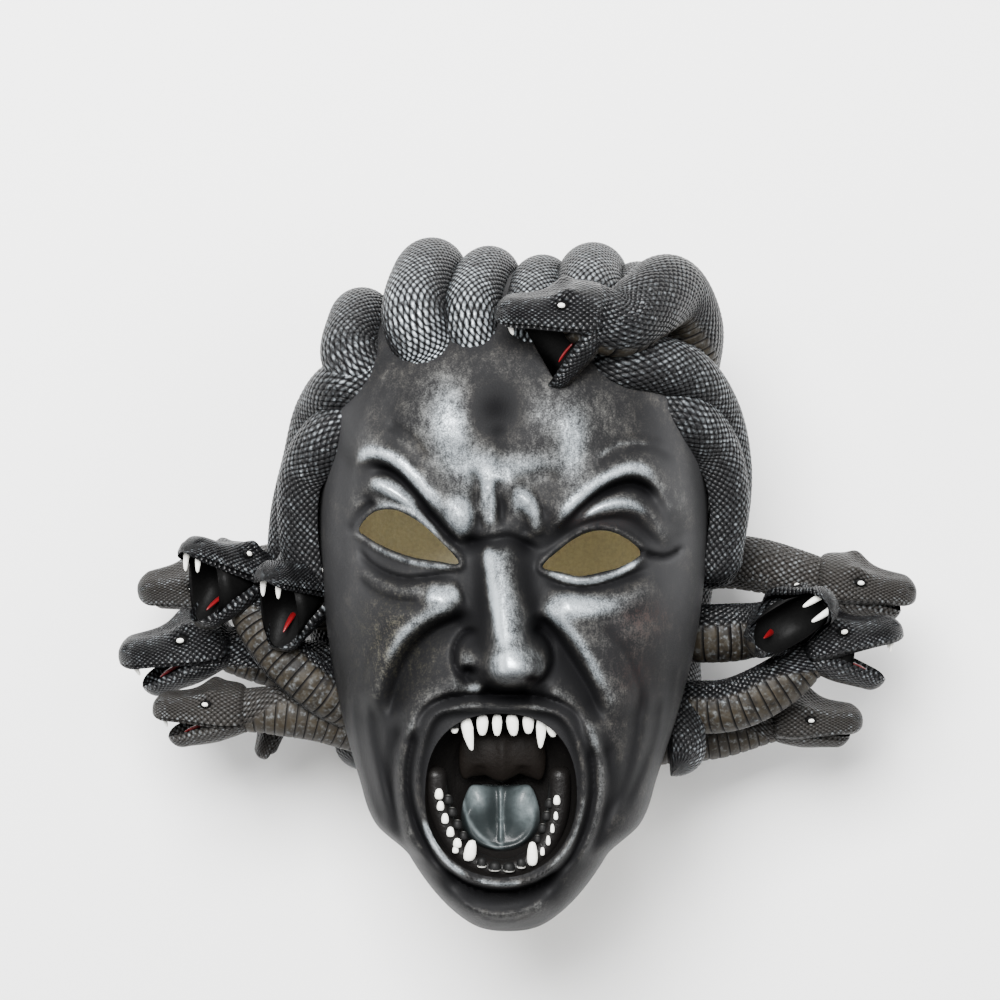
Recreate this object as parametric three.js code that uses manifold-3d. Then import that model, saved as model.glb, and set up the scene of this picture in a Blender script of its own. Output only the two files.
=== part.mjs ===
// Latex medusa mask: a hollow full-head mask of a Gorgon, lying on its back with the face up.
// Millimetres. +X is the viewer's right, +Y runs up to the crown, +Z out of the face.
// Z = 0 is the surface that the back of the hood rests on.

import * as THREE from "three";
import { mergeVertices } from "three/addons/utils/BufferGeometryUtils.js";
import Module from "manifold-3d";

const wasm = await Module();
wasm.setup();

// Driving dimensions of the head
const FACE_X = -4; // middle line of the head
const WALL = 4; // thickness of the latex
const GAP = 0.35; // between glued pieces
const CROWN_Y = 70; // where the dome of the crown begins
const CROWN_RISE = 98;
const CHIN_Y = -150; // where the ball of the chin begins
const CHIN_DROP = 42;
const SKULL_WIDTH = 104; // half
const SKULL_MID_Z = 118;
const FOREHEAD_RISE = 90;
const BACK_DROP = 106;
const FRONT_POWER = 2.5; // squareness of the face's cross-section
const BACK_POWER = 2.6;

// Cross-sections of the head from the brow down to the chin:
// height, half width, front depth, middle depth, back depth
const SECTIONS = [
  [70, 104, 208, 118, 12],
  [20, 104, 206, 118, 12],
  [-30, 99, 207, 119, 20],
  [-75, 91, 211, 122, 40],
  [-110, 81, 211, 130, 66],
  [-133, 72, 209, 141, 92],
  [-150, 53, 208, 150, 112],
  [-192, 36, 196, 160, 150],
];

// Coils cast into the hood
const COIL_SIDES = 6;
const COIL_LIFT = 2; // of a coil's middle over the hood, where no other lift is given
const FLANK_COIL_RADIUS = 17;
const FLANK_COIL_Z = 72;
const TEMPLE_COIL_RADIUS = 16;
const NAPE_Y = -95;

// Coils over the crown: x at the hairline and over the crown, the angle over the forehead where one
// leaves the skin, how far its middle stands over the hood, and its radius
const CROWN_COILS = [
  [-87, -84, 44, 1, 17],
  [-53, -45, 46, 4, 18],
  [-24, -13, 45, -3, 15.5],
  [8, 16, 45, -7, 15.5],
  [38, 44, 50, 3, 18],
  [66, 68, 54, 5, 18],
  [86, 88, 54, 0, 16.5],
];
const COIL_DIVE = 0.16; // share of the way to the dome's middle that a crown coil starts from

// Coils along both sides of the face
const TEMPLE_COILS = [
  [[-70, 104, 166], [-90, 102, 162], [-104, 88, 138], [-112, 62, 120], [-119, 34, 112], [-122, 6, 106]],
  [[-84, 84, 158], [-99, 74, 158], [-111, 56, 148], [-113, 30, 140], [-110, 2, 134]],
  [[44, 112, 176], [60, 114, 186], [88, 108, 172], [106, 88, 144], [114, 58, 122], [108, 6, 108]],
  [[74, 92, 168], [88, 86, 168], [104, 70, 152], [111, 44, 140], [108, 10, 132]],
];

// The neck opening is cut by one slanting plane
const NECK_CUT_POINT = [0, -168, 150];
const NECK_CUT_SLOPE = 1.25;

// Eyes: middle of the hole, and how far its outer end is turned up
const EYES = [
  { side: -1, x: -54.5, y: 22.5, slant: 21.8 },
  { side: 1, x: 40, y: 12.3, slant: 5.8 },
];
const EYE_LENGTH = 25; // half
const EYE_HEIGHT = 11.5; // half

// Brows start beside the nose root and share one shape, outward and up from there
const BROWS = [
  { side: -1, x: -26.6, y: 28 },
  { side: 1, x: 12.6, y: 20 },
];

// Mouth
const MOUTH = { x: -8, y: -113, z: 211, width: 40, height: 43, depth: 40 };
const TONGUE = { x: -8, y: -127, z: 177, width: 20, height: 20, depth: 9 };

const deg = THREE.MathUtils.degToRad;
const smooth = THREE.MathUtils.smoothstep;

// Value of one column of the sections at a height, on a smooth curve through them
function sectionValue(y, column) {
  let i = 0;
  while (i < SECTIONS.length - 2 && y < SECTIONS[i + 1][0]) i++;
  const at = (k) => SECTIONS[Math.min(Math.max(k, 0), SECTIONS.length - 1)];
  const [a, b] = [at(i), at(i + 1)];
  const t = THREE.MathUtils.clamp((a[0] - y) / (a[0] - b[0]), 0, 1);
  const slopeA = (b[column] - at(i - 1)[column]) / (b[0] - at(i - 1)[0]);
  const slopeB = (at(i + 2)[column] - a[column]) / (at(i + 2)[0] - a[0]);
  const span = b[0] - a[0];
  const [t2, t3] = [t * t, t * t * t];
  return (2 * t3 - 3 * t2 + 1) * a[column] + (t3 - 2 * t2 + t) * span * slopeA
    + (3 * t2 - 2 * t3) * b[column] + (t3 - t2) * span * slopeB;
}

// Half width and the front, middle and back depth of the bare head at a height
function sectionAt(y) {
  if (y > CROWN_Y) {
    const f = Math.sqrt(Math.max(0, 1 - ((y - CROWN_Y) / CROWN_RISE) ** 2));
    return {
      width: SKULL_WIDTH * f,
      front: SKULL_MID_Z + FOREHEAD_RISE * f,
      middle: SKULL_MID_Z,
      back: SKULL_MID_Z - BACK_DROP * f,
    };
  }
  const [width, front, middle, back] = [1, 2, 3, 4].map((c) => sectionValue(y, c));
  if (y > CHIN_Y) return { width, front, middle, back };
  const f = Math.sqrt(Math.max(0, 1 - ((CHIN_Y - y) / CHIN_DROP) ** 2));
  return {
    width: width * f,
    front: middle + (front - middle) * f,
    middle,
    back: middle - (middle - back) * f,
  };
}

const fall = (share, power) => Math.max(0, 1 - Math.abs(share) ** power) ** (1 / power);

// A soft line on the face: how far a place is from it, and how far along it the nearest point is
function faceLine(points) {
  const curve = new THREE.CatmullRomCurve3(points.map(([x, y]) => new THREE.Vector3(x, y, 0)));
  const samples = curve.getPoints(points.length * 5);
  return (x, y) => {
    let best = Infinity;
    let along = 0;
    for (let i = 0; i < samples.length - 1; i++) {
      const [a, b] = [samples[i], samples[i + 1]];
      const [dx, dy] = [b.x - a.x, b.y - a.y];
      const t = THREE.MathUtils.clamp(((x - a.x) * dx + (y - a.y) * dy) / (dx * dx + dy * dy), 0, 1);
      const d = Math.hypot(x - a.x - t * dx, y - a.y - t * dy);
      if (d < best) {
        best = d;
        along = (i + t) / (samples.length - 1);
      }
    }
    return [best, along];
  };
}

// A raised (or, with a negative height, sunk) line of a given width, fading out at its ends
function fold(points, height, width, fade = 0.18) {
  const line = faceLine(points);
  return (x, y) => {
    const [d, along] = line(x, y);
    const ends = smooth(along, 0, fade) * (1 - smooth(along, 1 - fade, 1));
    return height * ends * Math.exp(-((d / width) ** 2));
  };
}

const bump = (cx, cy, height, wx, wy) => (x, y) =>
  height * Math.exp(-(((x - cx) / wx) ** 2) - ((y - cy) / wy) ** 2);

// A place in an eye's own frame: along the eye, outward, and across it, up
function inEye(eye, x, y) {
  const [c, s] = [Math.cos(deg(eye.slant)), Math.sin(deg(eye.slant))];
  const [dx, dy] = [(x - eye.x) * eye.side, y - eye.y];
  return [dx * c + dy * s, -dx * s + dy * c];
}

function fromEye(eye, [u, v]) {
  const [c, s] = [Math.cos(deg(eye.slant)), Math.sin(deg(eye.slant))];
  return [eye.x + eye.side * (u * c - v * s), eye.y + u * s + v * c];
}

// How far outside the hole's almond edge a place is, as a share of its size; 1 on the edge
const almond = (u, v) => Math.hypot(u / EYE_LENGTH, v / (EYE_HEIGHT * (v > 0 ? 1 : 0.85)));

function eyeFeatures(eye) {
  const place = (points) => points.map((p) => fromEye(eye, p));
  const lid = fold(place([[-24, 6], [-10, 14], [8, 18], [27, 17], [38, 6]]), 8, 5);
  const pouch = fold(place([[-22, -12], [-4, -17], [16, -16], [32, -8]]), 4, 4.5);
  const pouchCrease = fold(place([[-20, -20], [0, -25], [20, -22], [34, -12]]), -3, 3.5);
  const crowFoot = fold(place([[27, 2], [36, 4], [46, 0]]), -3.5, 3.5);
  return (x, y) => {
    const [u, v] = inEye(eye, x, y);
    const socket = -9 * Math.exp(-((u / 30) ** 2) - ((v - 3) / 15) ** 2);
    const rim = 4 * Math.exp(-(((almond(u, v) - 1.22) / 0.2) ** 2));
    return socket + rim + lid(x, y) + pouch(x, y) + pouchCrease(x, y) + crowFoot(x, y);
  };
}

function browFeatures(brow) {
  const place = (points) => points.map(([out, up]) => [brow.x + brow.side * out, brow.y + up]);
  return [
    fold(place([[-4, -6], [16, 16], [30, 28], [46, 36], [58, 34], [67, 24], [70, 2]]), 13, 8, 0.12),
    fold(place([[4, -6], [22, 11], [38, 23], [54, 24]]), -4, 4),
    fold(place([[8, 20], [22, 34], [40, 47], [58, 50]]), 5, 6),
  ];
}

const NOSE = { root: [-9, 26], tip: [-2, -47] };

// The nose rises from its root to the tip and drops to the lip
function nose(x, y) {
  const t = (NOSE.root[1] - y) / (NOSE.root[1] - NOSE.tip[1]);
  const middle = NOSE.root[0] + (NOSE.tip[0] - NOSE.root[0]) * t;
  const rise = 10 + 24 * smooth(t, 0, 0.95);
  const half = 9 + 5 * smooth(t, 0.3, 1);
  const ends = smooth(t, -0.2, 0.2) * (1 - smooth(t, 0.98, 1.2));
  return rise * ends * Math.exp(-(((x - middle) / half) ** 2) * 1.1);
}

// Lips: a thick ring round the mouth opening
function lips(x, y) {
  const [dx, dy] = [(x - MOUTH.x) / MOUTH.width, (y - MOUTH.y) / MOUTH.height];
  const r = Math.hypot(dx, dy);
  return 8 * Math.exp(-(((r - 1.1) / 0.15) ** 2));
}

const FEATURES = [
  ...EYES.map(eyeFeatures),
  ...BROWS.flatMap(browFeatures),
  nose,
  lips,
  bump(-23, -43, 14, 8, 9), // wings of the nose
  bump(12, -43, 14, 8, 9),
  fold([[-20, 24], [-21, 44], [-18, 66]], -4, 3.5), // frown lines
  fold([[-8, 26], [-7, 46], [-9, 70]], -4, 3.5),
  fold([[6, 22], [6, 40], [2, 58]], -4, 3.5),
  fold([[-28, 21], [-10, 19], [9, 18]], -5, 3.5), // fold across the nose root
  fold([[-24, -20], [-45, -32], [-56, -48], [-64, -66], [-68, -95]], -6, 5), // cheek folds
  fold([[5, -24], [20, -31], [31, -44], [42, -62], [49, -92]], -6, 5),
  fold([[-33, -16], [-55, -26], [-68, -44], [-76, -66]], 6, 7),
  fold([[16, -20], [32, -26], [46, -42], [56, -64]], 6, 7),
  bump(-72, -18, 6, 20, 16), // cheekbones
  bump(62, -24, 6, 20, 16),
  fold([[-54, -128], [-62, -112], [-66, -96]], 4, 5), // rolls beside the mouth corners
  fold([[40, -128], [48, -112], [52, -96]], 4, 5),
  fold([[-36, -158], [-22, -167], [-6, -169], [10, -167], [24, -158]], -7, 4), // groove over the chin
  fold([[-30, -174], [-6, -181], [18, -174]], 5, 7), // roll of the chin
  bump(-44, 80, 6, 16, 18), // muscles of the forehead
  bump(30, 78, 6, 16, 18),
  bump(-12, 92, 4, 12, 22),
];

const relief = (x, y) => FEATURES.reduce((sum, feature) => sum + feature(x, y), 0);

// The lowest relief round a place, so that the cavity stays under every groove
function lowestRelief(x, y) {
  const reach = 6;
  const steps = [-reach, 0, reach];
  return Math.min(...steps.flatMap((dx) => steps.map((dy) => relief(x + dx, y + dy))));
}

// How the rows and columns of a sphere's grid are shared out over the head
const CENTRE_CROWDING = 0.3;
const CHIN_SHARE = 0.13;

function rowHeight(t, crownShare) {
  if (t < crownShare) return CROWN_Y + CROWN_RISE * Math.cos((deg(90) * t) / crownShare);
  if (t < 1 - CHIN_SHARE) {
    return CROWN_Y + ((CHIN_Y - CROWN_Y) * (t - crownShare)) / (1 - CHIN_SHARE - crownShare);
  }
  return CHIN_Y - CHIN_DROP * Math.sin((deg(90) * (t - 1 + CHIN_SHARE)) / CHIN_SHARE);
}

// A closed form of the head on a sphere's grid. crownShare is the share of the rows over the crown and
// frontShare that of the columns in front, frontPart and backPart are how much of its depth it takes
// before and behind the middle, and raised is the relief that it carries at a place.
function headForm(form) {
  const { frontShare, frontPart, backPart, raised, inset } = form;
  const geometry = new THREE.SphereGeometry(1, form.columns, form.rows);
  const [position, uv] = [geometry.getAttribute("position"), geometry.getAttribute("uv")];
  for (let i = 0; i < position.count; i++) {
    const y = rowHeight(1 - uv.getY(i), form.crownShare);
    const s = sectionAt(y);
    const out = uv.getX(i) * 2 - 1;
    const side = Math.sign(out);
    const share = Math.abs(out);
    let x;
    let z;
    if (share < frontShare) {
      const t = share / frontShare;
      const across = Math.sin(deg(90) * (t - (CENTRE_CROWDING * Math.sin(Math.PI * t)) / Math.PI));
      x = FACE_X + side * s.width * across;
      const lift = fall(across, FRONT_POWER);
      z = s.middle + frontPart * (s.front - s.middle) * lift;
      const faded = smooth(lift, 0.3, 0.75) * smooth(y, -192, -184) * (1 - smooth(y, 95, 118));
      z += faded * raised(x, y);
    } else {
      const turn = deg(90) * (1 - (share - frontShare) / (1 - frontShare));
      x = FACE_X + side * s.width * Math.sin(turn);
      z = s.middle - backPart * (s.middle - s.back) * fall(Math.sin(turn), BACK_POWER);
    }
    position.setXYZ(i, x, y, z);
  }
  if (inset !== 0) shrink(geometry, inset);
  return solidOf(geometry);
}

const FACE_FORM = {
  columns: 32, rows: 33, crownShare: 0.12, frontShare: 0.9,
  frontPart: 1, backPart: 0.1, raised: relief, inset: 0,
};
const SKULL_FORM = {
  columns: 20, rows: 13, crownShare: 0.38, frontShare: 0.4,
  frontPart: 0.7, backPart: 1, raised: () => 0, inset: 0.8,
};
const CAVITY_FORM = {
  columns: 20, rows: 15, crownShare: 0.26, frontShare: 0.7,
  frontPart: 1, backPart: 1, raised: lowestRelief, inset: WALL + 0.8,
};

// Moves every point inward along its normal
function shrink(geometry, inset) {
  const bare = plain(geometry);
  bare.computeVertexNormals();
  const [position, normal] = [bare.getAttribute("position"), bare.getAttribute("normal")];
  for (let i = 0; i < position.count; i++) {
    position.setXYZ(
      i,
      position.getX(i) - inset * normal.getX(i),
      position.getY(i) - inset * normal.getY(i),
      position.getZ(i) - inset * normal.getZ(i),
    );
  }
  geometry.copy(bare);
}

// The geometry with its places alone, shared where they meet
function plain(geometry) {
  const copy = geometry.clone();
  copy.deleteAttribute("normal");
  copy.deleteAttribute("uv");
  return mergeVertices(copy, 1e-4);
}

function solidOf(geometry) {
  const bare = plain(geometry);
  return new wasm.Manifold(new wasm.Mesh({
    numProp: 3,
    vertProperties: new Float32Array(bare.getAttribute("position").array),
    triVerts: new Uint32Array(bare.index.array),
  }));
}

function geometryOf(solid) {
  const mesh = solid.getMesh();
  const geometry = new THREE.BufferGeometry();
  geometry.setAttribute("position", new THREE.BufferAttribute(mesh.vertProperties, 3));
  geometry.setIndex(new THREE.BufferAttribute(mesh.triVerts, 1));
  return geometry;
}

// The largest body of a solid
function oneBody(solid) {
  return solid.decompose().reduce((a, b) => (b.volume() > a.volume() ? b : a));
}

const union = (solids) => solids.reduce((all, one) => all.add(one));

// A tube along a smooth path through some points, with as much in it as a round one
function tube(points, radius, sides, steps) {
  const corner = radius * Math.sqrt(deg(360) / (sides * Math.sin(deg(360) / sides)));
  const circle = new THREE.Shape();
  circle.absarc(0, 0, corner, 0, deg(360));
  const path = new THREE.CatmullRomCurve3(points.map((p) => new THREE.Vector3(...p)));
  const options = { steps, bevelEnabled: false, extrudePath: path, curveSegments: sides / 2 };
  return solidOf(new THREE.ExtrudeGeometry(circle, options));
}

function ellipsoid(x, y, z, rx, ry, rz, columns, rows) {
  const geometry = new THREE.SphereGeometry(1, columns, rows);
  geometry.scale(rx, ry, rz);
  geometry.translate(x, y, z);
  return solidOf(geometry);
}

// A point over the dome: x across, and an angle that runs from the forehead (0) over the top (90) to
// the back (180)
function domePoint(x, angle, lift) {
  const f = fall((x - FACE_X) / (SKULL_WIDTH + lift), 2.3);
  const reach = Math.cos(deg(angle)) > 0 ? FOREHEAD_RISE : BACK_DROP;
  return [
    x,
    CROWN_Y + (CROWN_RISE + lift) * f * Math.sin(deg(angle)),
    SKULL_MID_Z + (reach + lift) * f * Math.cos(deg(angle)),
  ];
}

// A point behind the head at a height
function backPoint(x, y, lift) {
  const s = sectionAt(y);
  const f = fall((x - FACE_X) / (s.width + lift), BACK_POWER);
  return [x, y, s.middle - (s.middle - s.back + lift) * f];
}

// A point on the head's flank at a height and a depth
function flankPoint(side, y, z, lift) {
  const s = sectionAt(y);
  const f = fall((s.middle - z) / (s.middle - s.back + lift), BACK_POWER);
  return [FACE_X + side * (s.width + lift) * f, y, z];
}

function crownCoil([xFront, xTop, start, lift]) {
  const middle = new THREE.Vector3(FACE_X, CROWN_Y, SKULL_MID_Z);
  const buried = new THREE.Vector3(...domePoint(xFront, start - 9, lift)).lerp(middle, COIL_DIVE);
  const points = [
    buried.toArray(),
    domePoint(xFront, start, lift),
    domePoint((xFront + xTop) / 2, start + 26, lift),
  ];
  for (const angle of [90, 125, 160]) points.push(domePoint(xTop, angle, lift));
  for (const y of [40, 0, -45, NAPE_Y]) points.push(backPoint(xTop, y, lift));
  return points;
}

// Coils that run over the crown, down the flanks and along both sides of the face, grown by some extra
function coils(extra) {
  const along = (path, radius) => tube(path, radius + extra, COIL_SIDES, Math.max(4, path.length - 2));
  const heights = [95, 60, 15, -30, -75];
  const flank = (side) => heights.map((y) => flankPoint(side, y, FLANK_COIL_Z, COIL_LIFT));
  return [
    ...CROWN_COILS.map((row) => along(crownCoil(row), row.at(-1))),
    ...[-1, 1].map((side) => along(flank(side), FLANK_COIL_RADIUS)),
    ...TEMPLE_COILS.map((path) => along(path, TEMPLE_COIL_RADIUS)),
  ];
}

// The hood's outside with its coils, grown for the pieces that are glued against it
function outside(extra) {
  const face = headForm({ ...FACE_FORM, inset: -extra });
  const skull = headForm({ ...SKULL_FORM, inset: SKULL_FORM.inset - extra });
  return union([face, skull, ...coils(extra)]);
}

// Half-space behind a slanting plane, as a large box
function neckCutter() {
  const size = 500;
  const geometry = new THREE.BoxGeometry(size, size, size);
  geometry.translate(0, 0, -size / 2);
  geometry.rotateX(-Math.atan(NECK_CUT_SLOPE));
  geometry.translate(...NECK_CUT_POINT);
  return solidOf(geometry);
}

function floorCutter() {
  const size = 600;
  const geometry = new THREE.BoxGeometry(size, size, size);
  geometry.translate(0, 0, -size / 2);
  return solidOf(geometry);
}

function eyeHole(eye) {
  const outline = [];
  const corners = 14;
  for (let i = 0; i < corners; i++) {
    const a = deg((360 * i) / corners);
    const v = Math.sin(a) * EYE_HEIGHT * (Math.sin(a) > 0 ? 1 : 0.85);
    outline.push(new THREE.Vector2(...fromEye(eye, [Math.cos(a) * EYE_LENGTH, v])));
  }
  const options = { depth: 110, steps: 1, bevelEnabled: false };
  const geometry = new THREE.ExtrudeGeometry(new THREE.Shape(outline), options);
  geometry.translate(0, 0, 150);
  return solidOf(geometry);
}

// One tooth standing on the mouth's edge at an angle, pointing to the middle
function tooth(angle, length, thickness, tip) {
  const geometry = new THREE.CylinderGeometry(tip, thickness, length + 5, 4);
  geometry.translate(0, (length + 5) / 2, 0);
  geometry.rotateZ(angle + deg(90));
  geometry.translate(
    MOUTH.x + (MOUTH.width + 3) * Math.cos(angle),
    MOUTH.y + (MOUTH.height + 3) * Math.sin(angle),
    MOUTH.z - 5,
  );
  return solidOf(geometry);
}

function teeth() {
  const solids = [];
  const upper = [50, 62, 74, 84, 96, 106, 118, 130];
  upper.forEach((a, i) => {
    const fang = i === 1 || i === upper.length - 2;
    solids.push(tooth(deg(a), fang ? 19 : 11, fang ? 4 : 3.4, fang ? 0.8 : 2.4));
  });
  const lower = [200, 219, 240, 258, 282, 300, 321, 340];
  lower.forEach((a, i) => {
    const fang = i === 2 || i === lower.length - 3;
    solids.push(tooth(deg(a), fang ? 14 : 7, fang ? 3.8 : 3.2, fang ? 0.8 : 2.2));
  });
  return solids;
}

function maskSolid() {
  const pocket = (grow) => ellipsoid(
    MOUTH.x, MOUTH.y, MOUTH.z,
    MOUTH.width + grow, MOUTH.height + grow, MOUTH.depth + grow, 16, 7,
  );
  const tongue = ellipsoid(
    TONGUE.x, TONGUE.y, TONGUE.z, TONGUE.width, TONGUE.height, TONGUE.depth, 8, 5,
  );
  const cavity = headForm(CAVITY_FORM).subtract(pocket(WALL));
  const whole = outside(0)
    .subtract(cavity)
    .subtract(pocket(0))
    .add(union([...teeth(), tongue]))
    .subtract(union(EYES.map(eyeHole)))
    .subtract(neckCutter())
    .subtract(floorCutter());
  return oneBody(whole);
}

// A snake's head. It is modelled pointing along +X with its top to +Z, and hinged at the origin.
const HEAD_LENGTH = 44;
const HEAD_WIDTH = 17; // half
const HEAD_HEIGHT = 15.5;
const FANG_LENGTH = 10;
const FANGS_SHOW_FROM = 20; // degrees of gape
const BLUNTNESS = 0.4;

function snakeHead(size, gape, extra) {
  const [length, width, height] = [HEAD_LENGTH * size, HEAD_WIDTH * size, HEAD_HEIGHT * size];
  // A blunt oval lying along X, its points moved by a form
  const shaped = (columns, rows, form) => {
    const geometry = new THREE.SphereGeometry(1, columns, rows);
    geometry.rotateZ(deg(90));
    const position = geometry.getAttribute("position");
    for (let i = 0; i < position.count; i++) {
      const [a, b, c] = [position.getX(i), position.getY(i), position.getZ(i)];
      const blunt = Math.max(Math.hypot(b, c), 1e-6) ** -BLUNTNESS;
      position.setXYZ(i, ...form(a, b * blunt, c * blunt));
    }
    return solidOf(geometry);
  };
  const upper = shaped(8, 5, (a, b, c) => {
    const snout = smooth(a, -0.2, 1);
    return [
      length * (0.38 + 0.62 * a) + extra * a,
      b * (width * (1 - 0.35 * snout) + extra),
      c * ((c > 0 ? height * (0.85 - 0.3 * snout) : height * 0.4) + extra) + height * 0.15,
    ];
  });
  const lower = shaped(6, 5, (a, b, c) => {
    const snout = smooth(a, -0.2, 1);
    return [
      length * (0.32 + 0.56 * a) + extra * a,
      b * (width * 0.88 * (1 - 0.4 * snout) + extra),
      c * ((c < 0 ? height * 0.5 : height * 0.25) + extra) - height * 0.3,
    ];
  });
  const hinge = new THREE.Matrix4().makeRotationY(deg(gape));
  const parts = [upper, lower.transform(hinge.toArray())];
  if (gape < FANGS_SHOW_FROM) return union(parts);
  for (const side of [-1, 1]) {
    const fang = new THREE.ConeGeometry(1.8 * size + extra, FANG_LENGTH * size, 4);
    fang.rotateX(deg(-90));
    fang.translate(length * 0.82, side * width * 0.4, -height * 0.45);
    parts.push(solidOf(fang));
  }
  return union(parts);
}

// A whole snake: its neck along a path, and its head at the path's end
function snake({ path, radius, size, gape, forward, top }, extra = 0) {
  const ahead = new THREE.Vector3(...forward).normalize();
  const across = new THREE.Vector3(...top).cross(ahead).normalize();
  const up = new THREE.Vector3().crossVectors(ahead, across);
  const place = new THREE.Matrix4().makeBasis(ahead, across, up);
  place.setPosition(...path.at(-1));
  const neck = tube(path, radius + extra, COIL_SIDES, path.length);
  return neck.add(snakeHead(size, gape, extra).transform(place.toArray()));
}

// The glued-on snakes: the path of each neck out of the hood, then where its head points
const SNAKES = {
  crown_snake: {
    path: [[92, 110, 112], [93, 134, 140], [82, 152, 166], [68, 143, 192], [53, 133, 206], [38, 137, 211]],
    radius: 19, size: 1.12, gape: 62, forward: [-1, 0.02, 0.06], top: [0, 1, 0.35],
  },
  left_front_snake: {
    path: [[-88, -22, 96], [-100, -18, 108], [-108, -10, 118], [-113, -6, 126]],
    radius: 14.5, size: 1.12, gape: 56, forward: [-0.42, 0.12, 0.9], top: [0.15, 1, 0],
  },
  left_upper_snake: {
    path: [[-88, -74, 116], [-108, -62, 126], [-130, -42, 124], [-146, -18, 116], [-149, -1, 114]],
    radius: 13, size: 1.12, gape: 52, forward: [-0.6, 0.32, 0.72], top: [0, 1, 0.1],
  },
  left_middle_snake: {
    path: [[-88, -52, 88], [-120, -52, 88], [-148, -46, 92], [-169, -39, 95]],
    radius: 14, size: 1.2, gape: 24, forward: [-1, -0.14, 0.08], top: [0, 1, 0.3],
  },
  left_rear_snake: {
    path: [[-90, 2, 58], [-130, 2, 60], [-158, -2, 60], [-168, -5, 60]],
    radius: 14.5, size: 1.08, gape: 4, forward: [-1, -0.12, 0.05], top: [0.1, 1, 0.8],
  },
  left_lower_snake: {
    path: [[-84, -86, 104], [-112, -78, 110], [-140, -75, 112], [-156, -76, 110]],
    radius: 13.5, size: 1.02, gape: 24, forward: [-1, 0.05, 0], top: [0, 1, 0.3],
  },
  left_hanging_snake: {
    path: [[-80, -92, 78], [-108, -86, 78], [-128, -78, 78], [-135, -80, 78]],
    radius: 9.5, size: 0.6, gape: 5, forward: [-0.32, -1, 0], top: [-1, 0.3, 0.4],
  },
  right_front_snake: {
    path: [[86, -32, 100], [108, -33, 108], [132, -31, 108], [149, -26, 112]],
    radius: 15.5, size: 1.1, gape: 60, forward: [0.42, 0.25, 0.87], top: [0.85, 0.5, -0.3],
  },
  right_upper_snake: {
    path: [[92, 6, 82], [126, 6, 84], [156, 0, 88], [177, -6, 90]],
    radius: 14.5, size: 1.1, gape: 14, forward: [1, -0.12, 0.05], top: [0, 1, 0.4],
  },
  right_middle_snake: {
    path: [[88, -74, 104], [120, -72, 112], [148, -58, 114], [167, -40, 112]],
    radius: 14, size: 1.1, gape: 37, forward: [1, 0.2, 0.05], top: [0, 1, 0.2],
  },
  right_lower_snake: {
    path: [[80, -95, 82], [110, -92, 82], [136, -86, 82], [152, -82, 82]],
    radius: 12.5, size: 1, gape: 14, forward: [1, -0.02, 0.05], top: [0, 1, 0.6],
  },
};

function named(name, solid, colour, roughness) {
  const material = new THREE.MeshStandardMaterial({ color: colour, roughness, metalness: 0 });
  const mesh = new THREE.Mesh(geometryOf(solid), material);
  mesh.name = name;
  return mesh;
}

const MASK_LATEX = { colour: 0x2b2c2e, roughness: 0.5 };
const SNAKE_LATEX = { colour: 0x17181a, roughness: 0.35 };

const maskGroup = new THREE.Group();
maskGroup.add(named("mask", maskSolid(), MASK_LATEX.colour, MASK_LATEX.roughness));

// Each snake is cut back from the hood and from the snakes before it, by the gap of the glue line
let taken = outside(GAP);
for (const [name, shape] of Object.entries(SNAKES)) {
  const body = oneBody(snake(shape).subtract(taken));
  maskGroup.add(named(name, body, SNAKE_LATEX.colour, SNAKE_LATEX.roughness));
  taken = taken.add(snake(shape, GAP));
}

export default maskGroup;
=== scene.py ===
import math

import bpy
import numpy as np
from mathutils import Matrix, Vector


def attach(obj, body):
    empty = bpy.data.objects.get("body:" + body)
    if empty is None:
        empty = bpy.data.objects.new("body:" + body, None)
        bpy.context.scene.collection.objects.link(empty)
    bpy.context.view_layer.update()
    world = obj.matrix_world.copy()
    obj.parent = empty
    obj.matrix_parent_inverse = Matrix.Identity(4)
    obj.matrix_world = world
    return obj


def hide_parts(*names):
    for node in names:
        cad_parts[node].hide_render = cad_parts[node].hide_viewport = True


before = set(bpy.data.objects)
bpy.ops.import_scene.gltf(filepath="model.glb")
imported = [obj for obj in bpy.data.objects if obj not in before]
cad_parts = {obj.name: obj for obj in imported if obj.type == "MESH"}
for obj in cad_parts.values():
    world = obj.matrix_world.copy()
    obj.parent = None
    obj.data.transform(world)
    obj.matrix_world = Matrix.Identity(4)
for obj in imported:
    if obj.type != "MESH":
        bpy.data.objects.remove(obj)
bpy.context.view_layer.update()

# Latex medusa mask: a hollow full-head mask of a Gorgon, lying on its back with the face up.
# Blender works in metres. The sculpting functions work in millimetres, as a mask maker does.
# +X is the viewer's right, +Y runs up to the crown, +Z out of the face, and the hood rests on Z = 0.

bl_info = {
    "name": "Latex medusa mask",
    "version": (1, 0, 0),
    "blender": (4, 5, 0),
    "location": "3D View > Sidebar > Medusa mask",
    "description": "Sculpts and paints a hollow latex mask of a Gorgon with eleven snakes",
    "category": "Object",
}

MM = 0.001

# The head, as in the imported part
FACE_X = -4
CROWN_Y = 70
CROWN_RISE = 98
CHIN_Y = -150
CHIN_DROP = 42
SKULL_WIDTH = 104
SKULL_MID_Z = 118
FOREHEAD_RISE = 90
BACK_DROP = 106
FRONT_POWER = 2.5
BACK_POWER = 2.6
# Height, half width, front depth, middle depth, back depth
SECTIONS = np.array([
    [70, 104, 208, 118, 12],
    [20, 104, 206, 118, 12],
    [-30, 99, 207, 119, 20],
    [-75, 91, 211, 122, 40],
    [-110, 81, 211, 130, 66],
    [-133, 72, 209, 141, 92],
    [-150, 53, 208, 150, 112],
    [-192, 36, 196, 160, 150],
], float)

NECK_CUT_POINT = (0, -168, 150)
NECK_CUT_SLOPE = 1.25

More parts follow.
